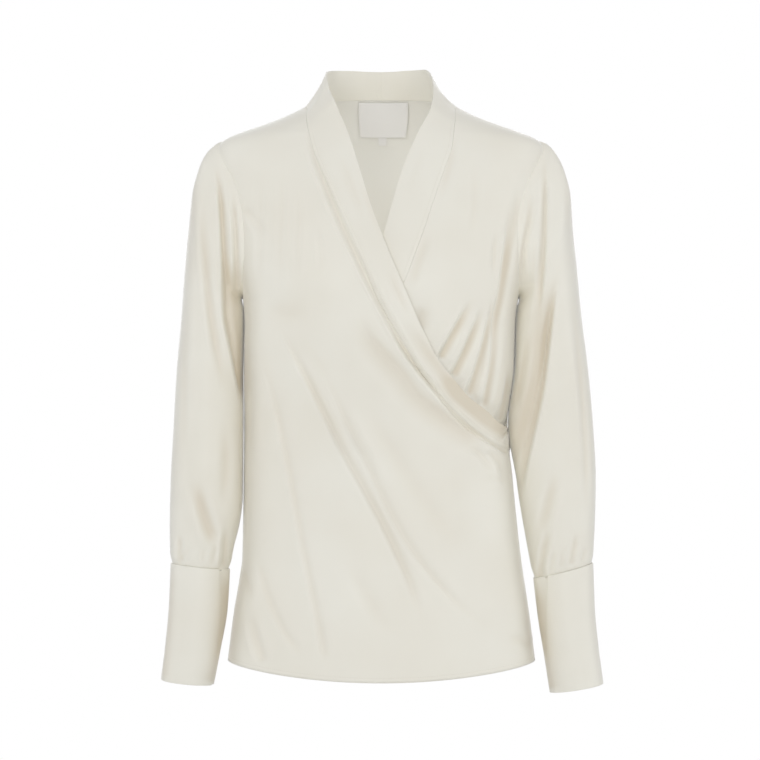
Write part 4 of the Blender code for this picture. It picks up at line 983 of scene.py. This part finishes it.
rightCuff = {
    "name": "cuffRight", "node": "cuff_right", "side": -1.0, "ends": (134.0, 158.0), "flat": (0.235, 0.145),
    # painted shade where the cuff turns in, warmer and darker; these paths only colour the cuff and do not
    # shape it
    "paintedShades": (
        (((229, 570), (226, 610), (221, 650), (214, 686)), 9.0, 6.0, -5.0, 0.20, 0.05, 0.0),
        (((171, 562), (168, 610), (163, 680)), 5.0, 5.0, -2.4, 0.20, 0.05, 0.0),
    ),
    "rings": (
        (0.00, 0.2405, -0.5240, 0.1728, -0.5310, 0.034, 0.034, 0.018),
        (0.33, 0.2420, -0.5710, 0.1760, -0.5780, 0.034, 0.034, 0.020),
        (0.67, 0.2458, -0.6150, 0.1835, -0.6220, 0.033, 0.033, 0.022),
        (1.00, 0.2512, -0.6570, 0.1905, -0.6630, 0.032, 0.032, 0.024),
    ),
}
leftCuff = {
    "name": "cuffLeft", "node": "cuff_left", "side": 1.0, "ends": (125.0, 168.0), "flat": (0.235, 0.145),
    "paintedShades": (
        (((533, 581), (537, 612), (541, 650), (548, 692)), 6.0, 9.0, -5.0, 0.20, 0.05, 0.0),
    ),
    "rings": (
        (0.00, 0.2427, -0.5240, 0.1742, -0.5410, 0.034, 0.034, 0.018),
        (0.33, 0.2440, -0.5740, 0.1800, -0.5870, 0.034, 0.034, 0.020),
        (0.67, 0.2482, -0.6200, 0.1868, -0.6310, 0.033, 0.033, 0.022),
        (1.00, 0.2540, -0.6615, 0.1915, -0.6715, 0.032, 0.032, 0.024),
    ),
}
sleeveCloth = {
    "wall": 0.0008, "columns": 160, "rows": 190, "ring": True, "crowding": 1.25, "axisSteps": 60,
    # shares of the length in which the armhole's edge turns into the arm's round and the folds begin
    "blend": 0.20, "foldsFrom": 0.05,
    # the inner side against the body: how close, how softly it begins and ends, how far it may move,
    # how much flatter its front is and over which share of the turn
    "clear": 0.0002, "softTop": 0.030, "softBottom": 0.060, "farthest": 0.008,
    "flatter": 0.4, "flatRun": 0.5, "pressFrom": 0.2,
    # the end in the cuff: its share of the length, how far down and how far in
    "tuckShare": 0.02, "tuckDown": 0.0030, "tuckIn": 0.0024,
    # the folds go back into the picture more than sideways, so the outline keeps its line
    "foldWay": (0.35, 1.0, 0.35),
}
cuffCloth = {
    "wall": 0.0015, "columns": 160, "rows": 44, "lap": 22.0, "lapRise": 40.0, "step": 0.0027,
    "fullness": 0.0006, "roundness": 0.0005,
}


def limbRing(side, limb, along, turn):  # 0 degrees is the outer side of the arm, 90 its front
    zero = np.zeros_like(along)
    outer = np.stack((side * limb["outerX"](along), zero, limb["outerZ"](along)), axis=1)
    inner = np.stack((side * limb["innerX"](along), zero, limb["innerZ"](along)), axis=1)
    forward = np.stack((zero, -limb["forward"](along), zero), axis=1)
    centre = 0.5 * (outer + inner) + forward
    sine = np.sin(np.radians(turn))
    depth = np.where(sine > 0.0, limb["front"](along), limb["back"](along))
    point = centre + 0.5 * (outer - inner) * np.cos(np.radians(turn))[:, None]
    point[:, 1] -= depth * sine
    return centre, point


def armholePoint(side, turn):  # the sleeve's edge, turned in under the panels' edges as its seam allowance
    height = armholeHeight(bodyForm["armholeRows"] * np.minimum(turn, 360.0 - turn) / 180.0)
    inward = bodyForm["tuckAngle"]
    front = armhole["frontAngle"](height) - inward
    behind = 180.0 - armhole["backAngle"](height) + inward
    angle = np.where(turn <= 180.0, front, behind)
    low, high = bodyForm["underarm"], bodyForm["shoulderPoint"]
    swing = 2.0 * (height - low) / (high - low) - 1.0
    return bodyPoint(side * angle, height + bodyForm["tuckHeight"] * swing, -bodyForm["tuckDepth"])


def sleevePlace(table):
    cloth = sleeveCloth
    side = table["side"]
    limb = tableCurves(limbColumns, table["rings"])
    frontFolds = Folds(table["frontFolds"])
    backFolds = Folds(table["backFolds"])

    def pressFlat(point, centre, along, sine, cosine):
        # under the arm the inner side is pressed flat between the sleeve's front and the body
        top, bottom = table["pressed"]
        pressed = ease((top - point[:, 2]) / cloth["softTop"])
        pressed = pressed * ease((point[:, 2] - bottom) / cloth["softBottom"])
        bodyHalf = form["left" if side > 0.0 else "right"](point[:, 2])
        closer = np.clip(limb["innerX"](along) - bodyHalf - cloth["clear"], 0.0, cloth["farthest"])
        inner = ease((-cosine - cloth["pressFrom"]) / (1.0 - cloth["pressFrom"]))
        frontDepth = np.clip(centre[:, 1] - point[:, 1], 0.0, None)
        squarer = np.clip(sine, 1e-6, 1.0) ** -cloth["flatter"] - 1.0
        quarter = np.where((sine > 0.0) & (cosine < 0.0), pressed, 0.0) * ease(-cosine / cloth["flatRun"])
        point[:, 1] -= frontDepth * squarer * quarter
        point[:, 0] -= side * closer * pressed * inner

    def place(u, v):
        along = v ** cloth["crowding"]
        turn = 360.0 * u
        sine = np.sin(np.radians(turn))
        cosine = np.cos(np.radians(turn))
        centre, point = limbRing(side, limb, along, turn)
        pressFlat(point, centre, along, sine, cosine)
        blend = ease(along / cloth["blend"])
        start = limbRing(side, limb, np.zeros_like(along), turn)[1]
        point = point + (armholePoint(side, turn) - start) * (1.0 - blend)[:, None]
        relief = np.where(turn < 180.0, frontFolds.heightAt(point), backFolds.heightAt(point))
        relief = relief * ease(along / cloth["foldsFrom"]) * np.abs(sine) ** 0.5
        # the lower end goes into the cuff
        tuck = ease((v - 1.0 + cloth["tuckShare"]) / cloth["tuckShare"])
        point[:, 2] -= cloth["tuckDown"] * tuck
        outward = unit(point - centre)
        point -= outward * (cloth["tuckIn"] * tuck)[:, None]
        return point + unit(outward * np.array(cloth["foldWay"])) * relief[:, None]

    return place


def limbFacing(table):
    limb = tableCurves(limbColumns, table["rings"])

    def facing(centre):
        # the arm's own axis at this height
        steps = np.linspace(0.0, 1.0, sleeveCloth["axisSteps"])
        axis = limbRing(table["side"], limb, steps, np.zeros_like(steps))[0]
        order = np.argsort(axis[:, 2])
        return np.stack([np.interp(centre[:, 2], axis[order, 2], axis[order, i]) for i in range(3)], axis=1)

    return facing


def sleeveRelief(table):
    front = Folds(table["frontFolds"])
    behind = Folds(table["backFolds"])
    facing = limbFacing(table)

    def heightAt(points):
        inFront = points[:, 1] < facing(points)[:, 1]
        return np.where(inFront, front.heightAt(points), behind.heightAt(points))

    return heightAt


for table in (rightSleeve, leftSleeve):
    makePiece({**sleeveCloth, **table}, sleevePlace(table), limbFacing(table), sleeveRelief(table))
print("sleeves made")


def cuffPlace(table):
    side = table["side"]
    limb = tableCurves(limbColumns, table["rings"])

    def place(u, v):
        wound = (360.0 + cuffCloth["lap"]) * u
        turn = mix(table["ends"][0], table["ends"][1], v) - wound
        centre, point = limbRing(side, limb, v, turn)
        under = 1.0 - ease((360.0 - wound) / cuffCloth["lapRise"])
        # the doubled cloth is a little fuller between its edges
        full = cuffCloth["fullness"] * np.sin(math.pi * np.clip(v, 0.0, 1.0)) ** 0.5
        return point + unit(point - centre) * (full - cuffCloth["step"] * under)[:, None]

    return place


for table in (rightCuff, leftCuff):
    # the cuff's paths only paint shade, the cuff's shape does not follow them
    paintedShades = Folds(table["paintedShades"]).heightAt
    table = {**cuffCloth, **table}
    makePiece(table, cuffPlace(table), limbFacing(table), paintedShades, (satin, satin))
print("cuffs made")


# the blank label and tab inside the back of the neck

neckLabel = {
    "name": "neckLabel", "node": "neck_label", "sides": (-0.0275, 0.0330), "heights": (-0.0295, 0.0095),
    "offWall": (0.0034, 0.0022), "wall": 0.0007, "columns": 60, "rows": 40,
}
sizeTab = {
    "name": "sizeTab", "node": "size_tab", "sides": (-0.0035, 0.0076), "heights": (-0.0385, -0.0220),
    "offWall": (0.0014, 0.0012), "wall": 0.0006, "columns": 20, "rows": 26,
}
patchCloth = {"roundness": 0.0002, "offPanel": 0.0022}


def patchSize(table):  # how wide and how tall it is
    return table["sides"][1] - table["sides"][0], table["heights"][1] - table["heights"][0]


def patchPlace(table):
    def place(u, v):
        x = mix(table["sides"][0], table["sides"][1], u)
        z = mix(table["heights"][1], table["heights"][0], v)
        gap = mix(table["offWall"][1], table["offWall"][0], v)
        frontAngle = angleAt(x, z)
        angle = np.where(frontAngle < 0.0, -180.0 - frontAngle, 180.0 - frontAngle)
        return bodyPoint(angle, z, -(patchCloth["offPanel"] + gap))

    return place


for table in (neckLabel, sizeTab):
    table = {**patchCloth, **table, "flat": patchSize(table)}
    facing = awayFrom((0.0, 1.0, 0.0))
    makePiece(table, patchPlace(table), facing, finishes=(ribbon, ribbon))
print("label made")


# stitches, laid along their lines by Geometry Nodes

stitching = {
    "seams": {"Pitch": 0.0027, "Stitch length": 0.0019, "Thread": 0.0003},
    "label": {"Pitch": 0.0016, "Stitch length": 0.0011, "Thread": 0.00025},
    "hemUp": 0.0055, "hemSteps": 260, "lift": 0.00005,
    # how far in from the seam, and where each row ends along its neckline
    "bandIn": 0.0042, "bandSteps": 400, "bandEnds": {-1: 0.97, 1: 0.62},
    "labelIn": 0.0014, "labelSteps": 20, "labelLift": 0.0001,
}


def stitchTree(name, material, sizes):
    tree = bpy.data.node_groups.new(name, "GeometryNodeTree")
    sockets = tree.interface
    sockets.new_socket("Geometry", in_out="INPUT", socket_type="NodeSocketGeometry")
    for label, value in sizes.items():
        item = sockets.new_socket(label, in_out="INPUT", socket_type="NodeSocketFloat")
        item.default_value = value
    sockets.new_socket("Geometry", in_out="OUTPUT", socket_type="NodeSocketGeometry")

    def add(kind, **settings):
        node = tree.nodes.new(kind)
        for key, value in settings.items():
            setattr(node, key, value)
        return node

    start = add("NodeGroupInput")
    end = add("NodeGroupOutput")
    toCurve = add("GeometryNodeMeshToCurve")
    spread = add("GeometryNodeCurveToPoints", mode="LENGTH")
    lie = add("FunctionNodeAlignRotationToVector", axis="Z")
    # a ball of one metre, scaled to the size of a stitch
    ball = add("GeometryNodeMeshIcoSphere")
    ball.inputs["Radius"].default_value = 0.5
    ball.inputs["Subdivisions"].default_value = 2
    size = add("ShaderNodeCombineXYZ")
    scatter = add("GeometryNodeInstanceOnPoints")
    shrink = add("GeometryNodeScaleInstances")
    real = add("GeometryNodeRealizeInstances")
    paint = add("GeometryNodeSetMaterial")
    paint.inputs["Material"].default_value = material
    smooth = add("GeometryNodeSetShadeSmooth")
    joins = (
        (start, "Geometry", toCurve, "Mesh"), (toCurve, "Curve", spread, "Curve"),
        (start, "Pitch", spread, "Length"), (spread, "Points", scatter, "Points"),
        (spread, "Tangent", lie, "Vector"), (ball, "Mesh", scatter, "Instance"),
        (lie, "Rotation", scatter, "Rotation"), (start, "Thread", size, "X"),
        (start, "Thread", size, "Y"), (start, "Stitch length", size, "Z"),
        (scatter, "Instances", shrink, "Instances"), (size, "Vector", shrink, "Scale"),
        (shrink, "Instances", real, "Geometry"), (real, "Geometry", smooth, "Geometry"),
        (smooth, "Geometry", paint, "Geometry"), (paint, "Geometry", end, "Geometry"),
    )
    for source, output, target, entry in joins:
        tree.links.new(source.outputs[output], target.inputs[entry])
    return tree


def sewLine(name, lines, sizes):
    points = []
    edges = []
    for line in lines:
        edges += [(len(points) + i, len(points) + i + 1) for i in range(len(line) - 1)]
        points += line.tolist()
    guide = bpy.data.meshes.new(name + "Guide")
    guide.from_pydata(points, edges, [])
    carrier = linked(guide, name + "Guide")
    tree = stitchTree(name + "Tree", thread, sizes)
    modifier = carrier.modifiers.new("stitches", "NODES")
    modifier.node_group = tree
    for item in tree.interface.items_tree:
        if item.in_out == "INPUT" and item.name in sizes:
            modifier[item.identifier] = sizes[item.name]
    graph = bpy.context.evaluated_depsgraph_get()
    mesh = bpy.data.meshes.new_from_object(carrier.evaluated_get(graph))
    carrier.modifiers.remove(modifier)
    bpy.data.objects.remove(carrier, do_unlink=True)
    mesh.name = name
    piece = linked(mesh, name)
    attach(piece, "root")


def hemLines():
    lines = []
    steps = np.linspace(-90.0, 90.0, stitching["hemSteps"])
    height = bodyForm["hemSide"] + hemSag(steps, bodyForm["hemDrop"]) + stitching["hemUp"]
    for panel in (upperFront, backPanel):
        angle = steps if panel is upperFront else 180.0 - steps
        flat = bodyPoint(angle, height)
        lines.append(bodyPoint(angle, height, panel["relief"].heightAt(flat) + stitching["lift"]))
    return lines


def bandLines():  # along each band, beside the seam
    lines = []
    for side, last in stitching["bandEnds"].items():
        neck = necks[side]
        t = np.linspace(neck.liesFrom, last, stitching["bandSteps"])
        edge = np.stack([curve(t) for curve in neck.edge], axis=1)
        width = np.linalg.norm(edge - neck.seamPoint(t), axis=1)
        lines.append(neck.bandPoint(t, stitching["bandIn"] / width, stitching["lift"]))
    return lines


def labelLines():
    place = patchPlace(neckLabel)
    wide, tall = patchSize(neckLabel)
    inU = stitching["labelIn"] / wide
    inV = stitching["labelIn"] / tall
    run = np.linspace(inV, 1.0 - inV, stitching["labelSteps"])
    lines = []
    for u in (inU, 1.0 - inU):
        line = place(np.full_like(run, u), run)
        line[:, 1] -= stitching["labelLift"]
        lines.append(line)
    return lines


sewLine("hemStitches", hemLines(), stitching["seams"])
sewLine("labelStitches", labelLines(), stitching["label"])
sewLine("bandStitches", bandLines(), stitching["seams"])
print("stitches sewn")


# pale floor, soft light and the camera

studio = {
    "ambient": 0.42, "bounces": 12, "softBounces": 8,
    "floorDrop": 1.15, "floorSize": 5.4, "floorColour": (0.86, 0.86, 0.85, 1.0), "floorRoughness": 0.9,
    # place, aim, size and power of each soft light
    "lights": {
        "key": ((-1.4, -2.8, 0.9), (0.0, 0.0, -0.3), (1.2, 1.2), 15.0),
        "fill": ((1.5, -2.9, 0.1), (0.0, 0.0, -0.3), (1.2, 1.4), 8.0),
        "front": ((0.0, -3.15, 0.10), (0.0, 0.0, -0.25), (0.25, 0.25), 14.0),
        "left": ((-2.5, 0.1, 0.3), (0.0, 0.0, -0.3), (1.2, 2.4), 10.0),
        "right": ((2.6, -0.2, 0.3), (0.0, 0.0, -0.3), (1.2, 2.4), 14.0),
        "top": ((0.0, -0.4, 2.4), (0.0, 0.0, -0.3), (1.8, 1.2), 9.0),
        "back": ((0.0, 2.6, 0.6), (0.0, 0.0, -0.3), (2.6, 2.0), 24.0),
        # the small lamp that shows the inside of the neck
        "inside": ((0.0, -0.030, -0.135), (0.0, 0.10, -0.095), (0.16, 0.10), 0.072),
    },
}
white = (1.0, 1.0, 1.0, 1.0)


def areaLight(name, place, aim, size, power):
    data = bpy.data.lights.new(name, "AREA")
    data.shape = "RECTANGLE"
    data.size, data.size_y = size
    data.energy = power
    lamp = linked(data, name)
    lamp.location = place
    way = Vector(aim) - lamp.location
    lamp.rotation_euler = way.to_track_quat("-Z", "Y").to_euler()


def background(tree, strength):
    node = tree.nodes.new("ShaderNodeBackground")
    node.inputs["Color"].default_value = white
    node.inputs["Strength"].default_value = strength
    return node.outputs["Background"]


bpy.ops.mesh.primitive_plane_add(size=studio["floorSize"], location=(0.0, 0.0, -studio["floorDrop"]))
floor = bpy.context.object
floor.name = "paleFloor"
floorMaterial, floorShader, _ = blankMaterial("paleFloor")
floorShader.inputs["Base Color"].default_value = studio["floorColour"]
floorShader.inputs["Roughness"].default_value = studio["floorRoughness"]
floor.data.materials.append(floorMaterial)
for name, values in studio["lights"].items():
    areaLight(name + "Light", *values)
bpy.data.objects["insideLight"].visible_camera = False

# soft light from all round, and a plain white behind the piece
world = bpy.data.worlds.new("studio")
scene.world = world
world.use_nodes = True
sky = world.node_tree
sky.nodes.clear()
ray = sky.nodes.new("ShaderNodeLightPath")
blend = sky.nodes.new("ShaderNodeMixShader")
out = sky.nodes.new("ShaderNodeOutputWorld")
sky.links.new(ray.outputs["Is Camera Ray"], blend.inputs["Fac"])
sky.links.new(background(sky, studio["ambient"]), blend.inputs[1])
sky.links.new(background(sky, 1.0), blend.inputs[2])
sky.links.new(blend.outputs["Shader"], out.inputs["Surface"])

cameraData = bpy.data.cameras.new("camera")
cameraData.lens = picture["lens"]
cameraData.sensor_width = picture["sensor"]
camera = linked(cameraData, "camera")
camera.location = (picture["x"], -picture["distance"], picture["z"])
camera.rotation_euler = (math.radians(90.0), 0.0, 0.0)
scene.camera = camera
scene.view_settings.view_transform = "Standard"
scene.cycles.max_bounces = studio["bounces"]
scene.cycles.diffuse_bounces = studio["softBounces"]

print("stage set")
